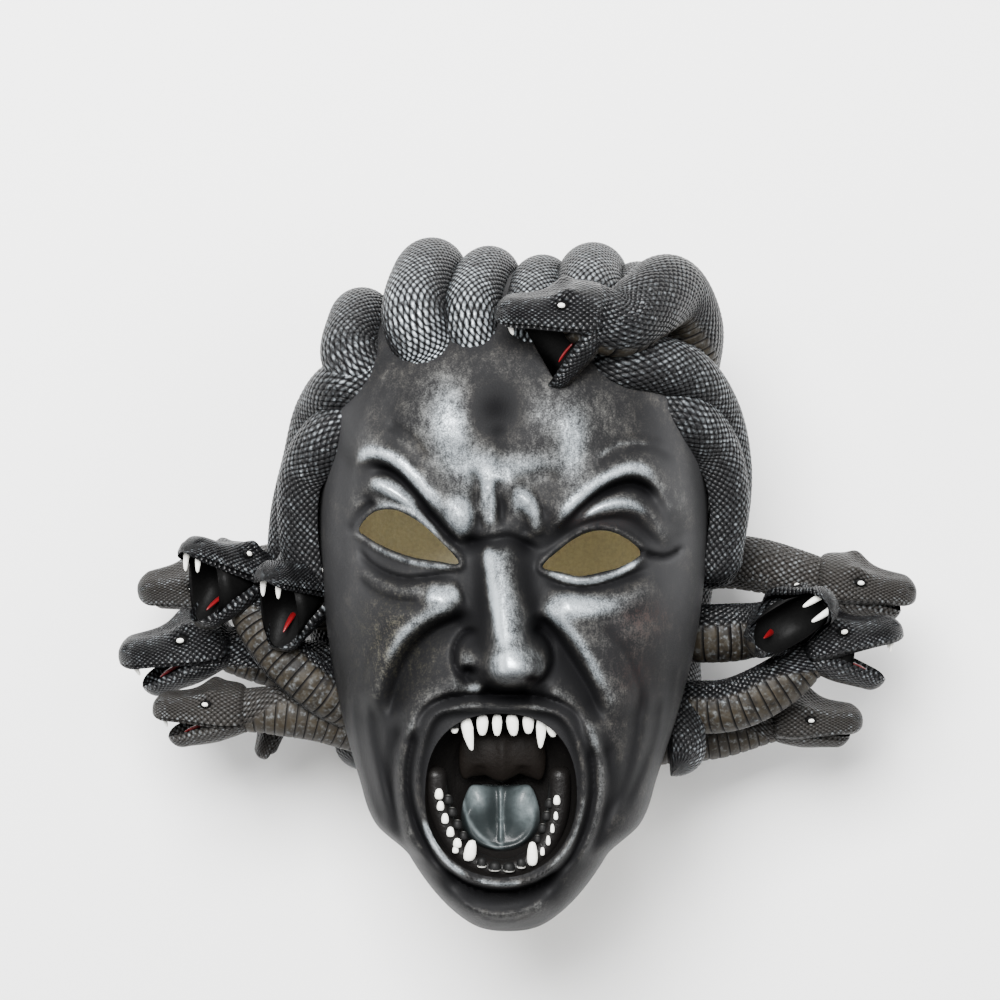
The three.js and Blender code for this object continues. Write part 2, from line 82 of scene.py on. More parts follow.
# Outlines of the openings in the face, each a smooth closed line through a few points
EYE_OUTLINES = {
    "left": [(-83, 25), (-76, 34), (-65, 36), (-53, 31), (-41, 21), (-30, 8),
             (-42, 9), (-55, 11), (-69, 16), (-78, 21)],
    "right": [(14, 6), (23, 15), (33, 22), (43, 25), (54, 23), (66, 13),
              (56, 6), (45, 3), (34, 1), (24, 3)],
}
MOUTH_OUTLINE = [(-48, -105), (-45, -86), (-39, -73), (-25, -70), (-8, -70), (8, -70), (22, -74), (29, -87),
                 (32, -105), (30, -122), (24, -138), (13, -150), (2, -155), (-8, -156), (-20, -154),
                 (-32, -146), (-41, -132), (-46, -119)]
MOUTH = {"x": -8, "y": -113, "z": 211, "width": 40, "height": 43, "depth": 40}
# How far the mouth's pocket is squared off from an oval, in its upper and its lower half
POCKET_SQUARE = (0.88, 0.24)
POCKET_POWER = 2.4  # of the squared-off oval

# Folds of the face: height, half width, and a few points of each line. A negative height is a groove.
# Two half widths are those on the left and on the right of the line, as one walks along it.
FACE_FOLDS = [
    # left brow and lid
    (9, (13, 4.5), [(-88, 58), (-77, 65), (-66, 63), (-57, 56), (-48, 46), (-37, 35), (-28, 26), (-20, 21)]),
    (-6, (2.4, 4), [(-78, 60), (-64, 55), (-54, 46), (-45, 34), (-35, 22), (-26, 14)]),
    (6, (6, 5), [(-82, 50), (-70, 48), (-58, 40), (-48, 30), (-37, 20), (-30, 11)]),
    (-0.9, 1, [(-74, 52), (-61, 46), (-51, 37), (-41, 27)]),
    (-0.9, 1, [(-76, 46), (-63, 40), (-52, 31), (-43, 23)]),
    (-0.7, 0.9, [(-70, 43), (-58, 38), (-48, 30)]),
    (-1.6, (3, 1.6), [(-85, 40), (-76, 43), (-63, 40), (-52, 33), (-41, 23), (-32, 13)]),
    (-4, 3, [(-74, 42), (-81, 34), (-88, 22)]),
    (-3, (1.6, 3), [(-84, 18), (-78, 9), (-69, 3), (-58, 0), (-45, 1), (-30, 3)]),
    (2.5, 3.5, [(-82, 6), (-72, -2), (-60, -6), (-46, -5)]),
    (-2, (1.6, 4), [(-84, 2), (-74, -7), (-61, -12), (-48, -12)]),
    (4, 6, [(-48, -8), (-38, -10), (-28, -6)]),
    # right brow and lid
    (9, (13, 4.5), [(12, 20), (22, 29), (30, 39), (41, 48), (51, 54), (62, 56), (72, 52), (79, 43),
                    (83, 32), (86, 20)]),
    (-6, (2.4, 4), [(18, 20), (29, 32), (39, 41), (49, 47), (60, 50), (69, 47), (75, 40)]),
    (6, (6, 5), [(24, 22), (35, 32), (47, 38), (60, 39), (70, 34), (77, 24), (82, 14)]),
    (-0.9, 1, [(30, 30), (42, 39), (56, 43), (69, 40)]),
    (-0.9, 1, [(34, 28), (45, 35), (58, 37), (69, 32), (75, 22)]),
    (-1.8, (3, 1.6), [(20, 14), (32, 26), (45, 31), (59, 30), (70, 22), (78, 14)]),
    (-4, 2, [(63, 16), (71, 12), (80, 11), (91, 17)]),
    (-3, (1.6, 3), [(14, 0), (25, -4), (36, -5), (48, -3), (60, 1), (74, 7)]),
    (4, (5, 7), [(20, -11), (33, -14), (46, -14), (60, -10), (76, -3)]),
    # knots between the brows
    (3.5, 4.2, [(-15, 52), (-13, 40), (-14, 26)]),
    (4, 3.6, [(-3, 44), (4, 43), (10, 34), (11, 21)]),
    (-3, (2.4, 3.4), [(-24, 58), (-20, 50), (-21, 38), (-18, 25)]),
    (-2.8, (3, 2.2), [(-9, 53), (-10, 46), (-8, 38), (-9, 26)]),
    (-1.6, (4, 2.4), [(-2, 50), (6, 53), (15, 55), (24, 51)]),
    (-2, 2.2, [(1, 37), (5, 31), (5, 22)]),
    (-1.2, 1.4, [(-16, 47), (-14, 40), (-15, 31)]),
    (-1, 1.4, [(8, 47), (13, 40), (15, 30)]),
    (-6, (3, 5), [(-30, 22), (-22, 19), (-12, 20), (-4, 21), (4, 18), (15, 13)]),
    (-1.4, 4, [(-10, 80), (-8, 66), (-10, 52)]),
    # forehead
    (-1.8, (2, 5), [(-68, 82), (-56, 76), (-44, 60)]),
    (-1.4, (2, 4), [(-70, 74), (-58, 67), (-46, 54)]),
    (-1.6, (2, 4), [(40, 56), (54, 65), (70, 68), (87, 60)]),
    (-1.2, (2, 4), [(44, 66), (62, 74), (82, 70)]),
    (2.5, (8, 4), [(-60, 122), (-71, 100), (-79, 76), (-84, 50), (-86, 10), (-90, -34)]),
    (2.5, (4, 8), [(64, 116), (80, 94), (89, 68), (93, 30), (93, -14)]),
    # grooves from the nose round the cheeks, and the cheeks over them
    (-8, (8, 4), [(-20, -19), (-31, -22), (-42, -27), (-52, -36), (-59, -48), (-64, -62), (-66, -82)]),
    (-8, (4, 8), [(6, -19), (16, -26), (24, -36), (32, -49), (39, -62), (45, -80)]),
    (7, (5, 16), [(-24, -12), (-40, -17), (-54, -25), (-66, -38), (-73, -56), (-76, -76)]),
    (7, (16, 5), [(11, -12), (26, -22), (37, -37), (47, -54), (54, -76)]),
    (-1.2, 2.4, [(-54, -18), (-67, -28), (-77, -44), (-82, -62)]),
    (-1.2, 2.4, [(42, -22), (56, -36), (64, -54), (68, -74)]),
    # muzzle and the folds that ring the mouth
    (6, (5, 10), [(-24, -54), (-38, -58), (-49, -69), (-55, -86)]),
    (6, (10, 5), [(14, -56), (26, -63), (36, -76), (41, -94)]),
    (3.5, (3, 4.5), [(-46, -68), (-55, -82), (-59, -100), (-59, -120), (-54, -138), (-44, -155)]),
    (3.5, (4.5, 3), [(30, -68), (39, -84), (43, -102), (42, -120), (37, -137), (27, -152)]),
    (-3, (2, 4), [(-57, -70), (-63, -86), (-66, -104), (-64, -124), (-58, -143)]),
    (-3, (4, 2), [(41, -74), (48, -92), (49, -110), (45, -130), (36, -147)]),
    (-8, (4, 5), [(-40, -150), (-31, -160), (-20, -165), (-8, -167), (4, -165), (15, -160), (24, -150)]),
    (5, (4, 7), [(-36, -167), (-22, -174), (-7, -177), (8, -174), (20, -166)]),
    (-1, 1.4, [(-26, -171), (-10, -174), (8, -171)]),
    (-0.8, 1.2, [(-20, -177), (-6, -180), (10, -176)]),
    # loose skin of the jaw
    (-2.6, (5, 3), [(-86, -46), (-83, -86), (-77, -112), (-67, -136)]),
    (-2.6, (5, 3), [(-76, -59), (-73, -86), (-67, -110), (-58, -136)]),
    (-1.6, (4, 2), [(-94, -40), (-91, -80), (-84, -112)]),
    (-2.6, (3, 5), [(66, -52), (63, -83), (57, -106), (46, -132)]),
    (-2.4, (3, 5), [(77, -56), (73, -84), (65, -105), (54, -126)]),
    (-1.6, (2, 4), [(86, -40), (82, -74), (74, -100)]),
    # creases of the nose
    (-4, 2, [(-18, -27), (-26, -28), (-31, -34), (-32, -43), (-28, -51), (-20, -55)]),
    (-4, 2, [(7, -26), (13, -28), (18, -35), (19, -44), (14, -52), (7, -57)]),
    (-6, (4, 6), [(-20, -57), (-9, -61), (0, -62), (8, -59)]),
]
# Rounded forms: x, y, height, half width, half height
FACE_BUMPS = [
    (-29, 34, 5, 9, 10), (3, 40, 6, 7, 7), (9, 28, 3, 6, 7), (-14, 44, 2, 6, 8),
    (-72, -18, 6, 22, 18), (62, -24, 6, 22, 18),
    (-40, 82, 5, 16, 20), (28, 78, 5, 17, 20), (-12, 94, 2, 14, 22),
    (-24, -42, 10, 7, 8), (10.5, -43, 10, 7, 9), (-4, -43, 6, 11, 10),
    (-24.5, -48, -8, 3.4, 2.8), (8, -51, -7, 3.6, 2.6),
    (-56, 24, -9, 28, 14), (40, 14, -9, 28, 14),
    (-8, -177, 3, 26, 12),
]
NOSE = {"root": (-9, 26), "tip": (-2, -47)}
# The small wrinkles fanning out under the viewer's right eye
FAN_WRINKLES = 7
# Broad patches of silver paint, partly painted highlight as on the forehead and the cheeks under the eyes: x,
# y, strength, half width, half height
SILVER_PATCHES = [
    (-34, 78, 0.52, 11, 20), (-22, 58, 0.4, 17, 11), (30, 68, 0.44, 8, 20), (9, 58, 0.4, 16, 9),
    (-56, 80, 0.12, 10, 16), (50, 80, 0.12, 18, 20), (-44, 104, 0.06, 14, 12), (14, 84, 0.2, 12, 14),
    (-8, 98, 0.14, 52, 26), (-6, -176, -0.14, 30, 12),
    (-38, -8, 0.5, 11, 5), (32, -14, 0.7, 18, 6), (20, -22, 0.25, 8, 12), (-22, -57, 0.6, 5, 4),
    (-28, 34, 0.5, 9, 10), (5, 38, 0.5, 8, 8), (-14, 38, 0.35, 5, 10), (-66, 42, 0.4, 12, 7),
    (58, -26, 0.12, 18, 18), (-11, 89, -0.6, 11, 11), (-4, -44, 0.35, 8, 7),
    (48, 40, 0.25, 16, 6), (-44, -138, 0.25, 5, 8), (46, -80, 0.08, 10, 20), (-12, 54, 0.35, 12, 8),
    (-30, -166, -0.15, 30, 6), (-70, -100, -0.2, 12, 50), (-78, -20, -0.05, 20, 30),
]
# Rusty stains: x, y, strength, half width, half height
RUST_PATCHES = [(66, -22, 0.9, 12, 9), (62, -52, 0.4, 10, 14), (-1, -50, 0.9, 9, 4), (44, 32, 0.35, 20, 6)]
OLIVE_STAIN = (-64, -34, 1, 18, 22)
# The dark blotch in the middle of the forehead
BLOTCH = (-11, 89, 0.95, 12, 11)
# Edges that the silver brush caught, and painted highlights along the brows, the lids and the nose's bridge
# and tip: strength, half width, points
SILVER_LINES = [
    (0.75, 2.6, [(-86, 61), (-76, 66), (-65, 63), (-56, 56), (-47, 46), (-37, 36)]),
    (0.5, 2.4, [(-78, 52), (-68, 48), (-57, 40), (-47, 30), (-37, 20)]),
    (0.35, 1.4, [(-72, 56), (-60, 48), (-50, 38)]),
    (0.55, 2.2, [(22, 30), (31, 41), (42, 50), (53, 56), (64, 58), (75, 52)]),
    (0.35, 1.8, [(33, 31), (46, 38), (60, 38), (70, 33)]),
    (0.3, 1.4, [(40, 62), (56, 71), (74, 70)]),
    (0.9, 1.3, [(14, 4), (25, 0), (36, -2), (47, 0), (58, 5), (68, 12)]),
    (0.4, 1.3, [(-80, 19), (-69, 13), (-55, 8), (-42, 6), (-31, 6)]),
    (0.95, 2.3, [(-15, 20), (-13, 0), (-9, -20), (-5, -38)]),
    (0.25, 3.6, [(-11, 18), (-8, 0), (-5, -20), (-2, -36)]),
    (0.9, 4.6, [(-7, -36), (-4, -42), (-3, -46)]),
    (0.25, 1.4, [(-41, -70), (-24, -65), (-8, -65), (8, -66), (24, -70)]),
    (0.75, 1.6, [(-49, -124), (-45, -136), (-36, -148), (-24, -156)]),
    (0.45, 1.5, [(-24, -156), (-8, -159), (4, -158)]),
    (0.3, 1.4, [(36, -110), (34, -124), (27, -140), (14, -153)]),
    (0.3, 2.4, [(-34, -13), (-48, -19), (-60, -30), (-68, -46)]),
    (0.35, 2.6, [(16, -17), (28, -27), (38, -42), (46, -60)]),
]

# Coils cast into the hood: where each leaves the hairline and where it crosses the crown, the angle over
# the forehead where it leaves the skin, how far its middle stands over the hood, and its radius
CROWN_COILS = [
    (-87, -84, 44, 1, 17), (-53, -45, 46, 4, 18), (-24, -13, 45, -3, 15.5), (8, 16, 45, -7, 15.5),
    (38, 44, 50, 3, 18), (66, 68, 54, 5, 18), (86, 88, 54, 0, 16.5),
]
COIL_DIVE = 0.16  # share of the way to the dome's middle that a crown coil starts from
COIL_RADIUS = 17
COIL_LIFT = 2
NAPE_Y = -95
FLANK_COIL_Z = 72
TEMPLE_COILS = {
    "left_temple_coil": [(-70, 104, 166), (-90, 102, 162), (-104, 88, 138), (-112, 62, 120), (-119, 34, 112),
                         (-122, 6, 106)],
    "left_cheek_coil": [(-84, 84, 158), (-99, 74, 158), (-111, 56, 148), (-113, 30, 140), (-110, 2, 134)],
    "right_temple_coil": [(44, 112, 176), (60, 114, 186), (88, 108, 172), (106, 88, 144), (114, 58, 122),
                          (113, 32, 114), (108, 6, 108)],
    "right_cheek_coil": [(74, 92, 168), (88, 86, 168), (104, 70, 152), (111, 44, 140), (108, 10, 132)],
}

# Scales: width round a coil and spacing of the rows along it
SCALE_WIDTH = 3.6
SCALE_ROW = 2.1
SCALE_FILL = (1.95, 2.1)  # how steeply a scale falls off across and along, from half its size
PLATE_LENGTH = 5.6
PLATE_EDGE = 0.72  # share of a belly plate's length where its groove starts

# Snakes: path of the neck, its radius, size of the head, gape of the jaws in degrees,
# where the head points, where its top faces, where the neck's belly faces, with near_side how much of the
# mouth's web is left on the side where the mouth lies open, and whether its paint is matt
SNAKES = {
    "crown_snake": {
        "path": [(92, 110, 112), (93, 134, 140), (82, 152, 166), (68, 143, 192), (53, 133, 206),
                 (38, 137, 211)],
        "radius": 20, "size": 1.12, "gape": 62, "forward": (-1, 0.02, 0.06), "top": (0, 1, 0.35),
        "belly": (0, -1, -0.2), "near_side": 0.1,
    },
    "left_front_snake": {
        "path": [(-88, -22, 96), (-100, -18, 108), (-108, -10, 118), (-113, -6, 126)],
        "radius": 15, "size": 1.12, "gape": 56, "forward": (-0.42, 0.12, 0.9), "top": (0.15, 1, 0),
        "belly": (0, -1, 0.3),
    },
    "left_upper_snake": {
        "path": [(-88, -74, 116), (-108, -62, 126), (-130, -42, 124), (-146, -18, 116), (-149, -1, 114)],
        "radius": 13.5, "size": 1.12, "gape": 52, "forward": (-0.6, 0.32, 0.72), "top": (0, 1, 0.1),
        "belly": (0.2, -0.4, 1),
    },
    "left_middle_snake": {
        "path": [(-88, -52, 88), (-120, -52, 88), (-148, -46, 92), (-169, -39, 95)],
        "radius": 14.5, "size": 1.2, "gape": 24, "forward": (-1, -0.14, 0.08), "top": (0, 1, 0.3),
        "belly": (0, -1, 0.3),
    },
    "left_rear_snake": {
        "path": [(-90, 2, 58), (-130, 2, 60), (-158, -2, 60), (-168, -5, 60)],
        "radius": 15, "size": 1.08, "gape": 4, "forward": (-1, -0.12, 0.05), "top": (0.1, 1, 0.8),
        "belly": (0, -1, -0.6), "matt": True,
    },
    "left_lower_snake": {
        "path": [(-84, -86, 104), (-112, -78, 110), (-140, -75, 112), (-156, -76, 110)],
        "radius": 14, "size": 1.02, "gape": 24, "forward": (-1, 0.05, 0), "top": (0, 1, 0.3),
        "belly": (0, -0.5, 1), "matt": True,
    },
    "left_hanging_snake": {
        "path": [(-80, -92, 78), (-108, -86, 78), (-128, -78, 78), (-135, -80, 78)],
        "radius": 9.5, "size": 0.6, "gape": 5, "forward": (-0.32, -1, 0), "top": (-1, 0.3, 0.4),
        "belly": (0, -1, -0.3), "matt": True,
    },
    "right_front_snake": {
        "path": [(86, -32, 100), (108, -33, 108), (132, -31, 108), (149, -26, 112)],
        "radius": 16, "size": 1.1, "gape": 60, "forward": (0.42, 0.25, 0.87), "top": (0.85, 0.5, -0.3),
        "belly": (0, -0.7, 1),
    },
    "right_upper_snake": {
        "path": [(92, 6, 82), (126, 6, 84), (156, 0, 88), (177, -6, 90)],
        "radius": 15, "size": 1.1, "gape": 14, "forward": (1, -0.12, 0.05), "top": (0, 1, 0.4),
        "belly": (0, -1, -0.6), "matt": True,
    },
    "right_middle_snake": {
        "path": [(88, -74, 104), (120, -72, 112), (148, -58, 114), (167, -40, 112)],
        "radius": 14.5, "size": 1.1, "gape": 37, "forward": (1, 0.2, 0.05), "top": (0, 1, 0.2),
        "belly": (0, -0.6, 1),
    },
    "right_lower_snake": {
        "path": [(80, -95, 82), (110, -92, 82), (136, -86, 82), (152, -82, 82)],
        "radius": 13, "size": 1, "gape": 14, "forward": (1, -0.02, 0.05), "top": (0, 1, 0.6),
        "belly": (0, -0.7, 0.7), "matt": True,
    },
}
HEAD_LENGTH = 44
HEAD_WIDTH = 17
HEAD_HEIGHT = 15.5
FANG_LENGTH = 6.2
FANG_RADIUS = 2.0
FANGS_SHOW_FROM = 20  # gape in degrees from which fangs and tongue are seen

# Teeth: middle x and y, half width, half length, how far the tip leans to the viewer's right, and how far
# up from its end a tooth is painted white (0 to 1), or with a minus sign how far from its root
UPPER_TEETH = [
    (-32, -77, 2.6, 4, 0, 0.3), (-25, -80.5, 3.3, 9.5, 2, 1), (-17.5, -76.5, 3.2, 5.6, 0, 1),
    (-9.8, -76.5, 2.7, 5.8, 0, 1), (-1.7, -76.5, 3.3, 5.8, 0.6, 1), (6.5, -76, 3.1, 5.2, 0, 1),
    (13.2, -80, 2.9, 8.8, -0.4, 1), (18.6, -78.5, 2.8, 4.4, 1, 1),
]
LOWER_TEETH = [
    (-40.2, -112.6, 2.3, 2.9, 0, 1), (-39.4, -118.8, 2, 2.6, 0, 1), (-37, -125.4, 2, 2.8, 0, 1),
    (-34.2, -132.4, 2.1, 2.7, 0, 1), (-30.6, -138.2, 2.3, 2.6, 0, 1), (-31.6, -141.8, 1.7, 1.8, 0, 1),
    (-23.8, -142.2, 3.4, 5.6, 1, 1),
    (-17.8, -148.4, 2.7, 2.8, 0, -0.16), (-11, -150.4, 3.5, 2.7, 0, -0.14),
    (-3.6, -150.8, 3.4, 2.7, 0, -0.14), (2.8, -148.8, 2.6, 2.8, 0, -0.16), (8.6, -143.9, 2.9, 6.4, 0, 1),
    (13.9, -142.6, 1.2, 2.2, 0, 1), (16.9, -136.9, 1.2, 2.6, 0, 1), (19.1, -130.6, 1.1, 2.4, 0, 1),
    (20.9, -124, 1.2, 2.2, 0, 1), (21.4, -115.8, 1.9, 2.6, 0, 1),
    (-35.6, -116, 2.8, 2.6, 0, 0), (-33.4, -122.5, 2.8, 2.6, 0, 0), (-30.6, -129, 2.8, 2.6, 0, 0),
    (-27.4, -135, 2.4, 2.4, 0, 0), (17.6, -118, 2.6, 2.6, 0, 0), (16.2, -124.5, 2.6, 2.6, 0, 0),
    (14, -131, 2.6, 2.6, 0, 0), (11.4, -136.6, 2.2, 2.2, 0, 0),
]
UPPER_TEETH_Z = 204
WHITE_TEETH_Z = 203  # of the lower jaw, standing on the gum
DARK_TEETH_Z = 199  # half sunk in it
# The middle line of the lower gum, its depth and its radius
GUM_LINE = [
    (-42, -104), (-41.5, -114), (-39, -125), (-35.5, -134), (-30, -143), (-21.5, -149.5), (-11, -153),
    (-3, -153), (6.5, -149.5), (13.5, -143.5), (18.5, -135), (22, -124), (23, -112), (23, -104),
]
GUM_Z = 195.5
GUM_RADIUS = 6
# Paler paint and painted sheen on the tongue: x, y, strength, half width, half height
TONGUE_PALE_AND_SHEEN_SPOTS = [(-21, -115, 0.75, 5, 6), (7, -120, 0.85, 6.5, 9), (-7.6, -127, 0.8, 0.9, 13)]
# The tongue's front rim, along which a line of painted sheen runs
TONGUE_RIM_SHEEN = [
    (-28, -117), (-26.4, -124.3), (-21.6, -133.2), (-15.1, -139.6), (-8.6, -143.7), (-1.3, -143.7),
    (4, -142),
]


# Shaping functions

def smooth(value, low, high):
    t = np.clip((value - low) / (high - low), 0, 1)
    return t * t * (3 - 2 * t)


def fall(share, power):
    return np.maximum(0, 1 - np.abs(share) ** power) ** (1 / power)


def arc(share):
    """1 in the middle and 0 at shares of -1 and 1, as the height of a circle is."""
    return np.sqrt(np.clip(1 - share ** 2, 0, 1))


def bell(value, middle, width):
    return np.exp(-((value - middle) / width) ** 2)


def spots_at(x, y, spots):
    """The sum of soft spots, each x, y, strength, half width and half height."""
    return sum(spot[2] * bell(x, spot[0], spot[3]) * bell(y, spot[1], spot[4]) for spot in spots)


def signed_power(value, power):
    return np.sign(value) * np.abs(value) ** power


def section_column(y, column):
    """One column of the sections at some heights, on a smooth curve through them."""
    heights, values = SECTIONS[:, 0], SECTIONS[:, column]
    slopes = np.empty(len(values))
    slopes[1:-1] = (values[2:] - values[:-2]) / (heights[2:] - heights[:-2])
    slopes[0] = (values[1] - values[0]) / (heights[1] - heights[0])
    slopes[-1] = (values[-1] - values[-2]) / (heights[-1] - heights[-2])
    i = np.clip(np.searchsorted(-heights, -np.asarray(y, float), side="right") - 1, 0, len(values) - 2)
    span = heights[i + 1] - heights[i]
    t = np.clip((y - heights[i]) / span, 0, 1)
    t2, t3 = t * t, t * t * t
    return ((2 * t3 - 3 * t2 + 1) * values[i] + (t3 - 2 * t2 + t) * span * slopes[i]
            + (3 * t2 - 2 * t3) * values[i + 1] + (t3 - t2) * span * slopes[i + 1])


def section_at(y):
    """Half width and the front, middle and back depth of the bare head at some heights."""
    y = np.asarray(y, float)
    width, front, middle, back = [section_column(y, c) for c in (1, 2, 3, 4)]
    chin = np.where(y > CHIN_Y, 1, arc((CHIN_Y - y) / CHIN_DROP))
    crown = arc((y - CROWN_Y) / CROWN_RISE)
    above = y > CROWN_Y
    width = np.where(above, SKULL_WIDTH * crown, width * chin)
    front = np.where(above, SKULL_MID_Z + FOREHEAD_RISE * crown, middle + (front - middle) * chin)
    back = np.where(above, SKULL_MID_Z - BACK_DROP * crown, middle - (middle - back) * chin)
    middle = np.where(above, SKULL_MID_Z, middle)
    return width, front, middle, back


def smooth_curve(points, steps, closed=False):
    """Points on a smooth curve through some points, in as many dimensions as they have."""
    points = np.array(points, float)
    if closed:
        points = np.vstack([points[-1], points, points[0], points[1]])
    else:
        points = np.vstack([2 * points[0] - points[1], points, 2 * points[-1] - points[-2]])
    out = []
    for k in range(1, len(points) - 2):
        p0, p1, p2, p3 = points[k - 1:k + 3]
        d0, d1, d2 = [max(np.linalg.norm(b - a), 1e-6) ** 0.5 for a, b in ((p0, p1), (p1, p2), (p2, p3))]
        m1 = ((p1 - p0) / d0 - (p2 - p0) / (d0 + d1) + (p2 - p1) / d1) * d1
        m2 = ((p2 - p1) / d1 - (p3 - p1) / (d1 + d2) + (p3 - p2) / d2) * d1
        t = np.linspace(0, 1, steps, endpoint=False)[:, None]
        out.append(p1 + m1 * t + (3 * (p2 - p1) - 2 * m1 - m2) * t ** 2 + (2 * (p1 - p2) + m1 + m2) * t ** 3)
    return np.vstack(out + ([] if closed else [points[-2:-1]]))


def nearest_on_line(line, x, y):
    """How far places are from a line, how far along it their nearest points are, from 0 to 1,
    and whether they lie on the left of it."""
    best, along, left = np.full(x.shape, 1e9), np.zeros(x.shape), np.zeros(x.shape, bool)
    for i in range(len(line) - 1):
        (ax, ay), (bx, by) = line[i], line[i + 1]
        dx, dy = bx - ax, by - ay
        t = np.clip(((x - ax) * dx + (y - ay) * dy) / (dx * dx + dy * dy + 1e-9), 0, 1)
        d = np.hypot(x - ax - t * dx, y - ay - t * dy)
        nearer = d < best
        best[nearer] = d[nearer]
        along[nearer] = (i + t[nearer]) / (len(line) - 1)
        left[nearer] = (dx * (y - ay) - dy * (x - ax) > 0)[nearer]
    return best, along, left


class FaceMap:
    """A height or a tone over the face, on a regular grid of half millimetres."""

    STEP = 0.5
    LEFT, RIGHT, BOTTOM, TOP = -112, 106, -194, 132

    def __init__(self):
        self.x_line = np.arange(self.LEFT, self.RIGHT, self.STEP)
        self.y_line = np.arange(self.BOTTOM, self.TOP, self.STEP)
        self.value = np.zeros((len(self.y_line), len(self.x_line)))

    def window(self, low, high):
        """The part of the grid between two corners, and its x and y."""
        i = [int(np.clip((v - self.LEFT) / self.STEP, 0, len(self.x_line))) for v in (low[0], high[0])]
        j = [int(np.clip((v - self.BOTTOM) / self.STEP, 0, len(self.y_line))) for v in (low[1], high[1])]
        part = (slice(j[0], j[1] + 1), slice(i[0], i[1] + 1))
        x, y = np.meshgrid(self.x_line[part[1]], self.y_line[part[0]])
        return part, x, y

    def fold(self, points, height, width, fade=0.18):
        line = smooth_curve(points, 6)
        left_width, right_width = width if isinstance(width, tuple) else (width, width)
        reach = 3 * max(left_width, right_width)
        part, x, y = self.window(line.min(0) - reach, line.max(0) + reach)
        d, along, left = nearest_on_line(line, x, y)
        ends = smooth(along, 0, fade) * (1 - smooth(along, 1 - fade, 1))
        self.value[part] += height * ends * bell(d, 0, np.where(left, left_width, right_width))

    def bump(self, x, y, height, wide, tall):
        self.value += height * np.outer(bell(self.y_line, y, tall), bell(self.x_line, x, wide))

    def blurred(self, radius):
        fx = np.fft.fftfreq(len(self.x_line), self.STEP)
        fy = np.fft.fftfreq(len(self.y_line), self.STEP)
        keep = np.exp(-2 * (math.pi * radius) ** 2 * (fx[None, :] ** 2 + fy[:, None] ** 2))
        return np.fft.ifft2(np.fft.fft2(self.value) * keep).real

    def lowest(self, reach):
        """The lowest value within a reach of each place, across and along."""
        steps, low = round(reach / self.STEP), self.value
        for axis in (0, 1):
            padded = np.pad(low, [(steps, steps) if side == axis else (0, 0) for side in (0, 1)], mode="edge")
            count = low.shape[axis]
            low = np.min([np.take(padded, range(k, k + count), axis) for k in range(2 * steps + 1)], axis=0)
        return low

    def read(self, x, y):
        fx = np.clip((x - self.LEFT) / self.STEP, 0, len(self.x_line) - 1.001)
        fy = np.clip((y - self.BOTTOM) / self.STEP, 0, len(self.y_line) - 1.001)
        i, j = fx.astype(int), fy.astype(int)
        tx, ty = fx - i, fy - j
        v = self.value
        return ((v[j, i] * (1 - tx) + v[j, i + 1] * tx) * (1 - ty)
                + (v[j + 1, i] * (1 - tx) + v[j + 1, i + 1] * tx) * ty)


def outline_distance(face_map, outline):
    """Distance from a closed outline over the whole map, negative inside it."""
    line = smooth_curve(outline, 6, closed=True)
    line = np.vstack([line, line[:1]])
    x, y = np.meshgrid(face_map.x_line, face_map.y_line)
    far = np.full(x.shape, 60.0)
    part, wx, wy = face_map.window(line.min(0) - 30, line.max(0) + 30)
    d = nearest_on_line(line, wx, wy)[0]
    inside = np.zeros(wx.shape, bool)
    for (ax, ay), (bx, by) in zip(line[:-1], line[1:]):
        crosses = ((ay > wy) != (by > wy)) & (wx < (bx - ax) * (wy - ay) / (by - ay + 1e-12) + ax)
        inside ^= crosses
    far[part] = np.where(inside, -d, d)
    return far


def nose(x, y):
    t = (NOSE["root"][1] - y) / (NOSE["root"][1] - NOSE["tip"][1])
    middle = NOSE["root"][0] + (NOSE["tip"][0] - NOSE["root"][0]) * t
    rise = 10 + 24 * smooth(t, 0, 0.95)
    half = 10 + 4 * smooth(t, 0.3, 1)
    ends = smooth(t, -0.2, 0.2) * (1 - smooth(t, 0.98, 1.2))
    return rise * ends * np.exp(-np.abs((x - middle) / half) ** 2.6)


def sculpted_relief():
    """The relief of the face, and the distance from the mouth's outline."""
    relief = FaceMap()
    for height, width, points in FACE_FOLDS:
        relief.fold(points, height, width)
    for bump in FACE_BUMPS:
        relief.bump(*bump)
    x, y = np.meshgrid(relief.x_line, relief.y_line)
    relief.value += nose(x, y)
    for outline in EYE_OUTLINES.values():
        relief.value += 3.2 * bell(outline_distance(relief, outline), 1.6, 1.8)
    lips = outline_distance(relief, MOUTH_OUTLINE)
    relief.value += 5.5 * bell(lips, 3.4, 2.6) - 3 * bell(lips, 9, 2)
    for k in range(FAN_WRINKLES):
        drop = 3.2 + 2.3 * k
        wrinkle = [(20 + 2 * k, -2 - drop), (34, -6 - drop), (50, -4 - drop), (66 + k, 1 - drop)]
        relief.fold(wrinkle, -0.7, 0.8)
    return relief, lips


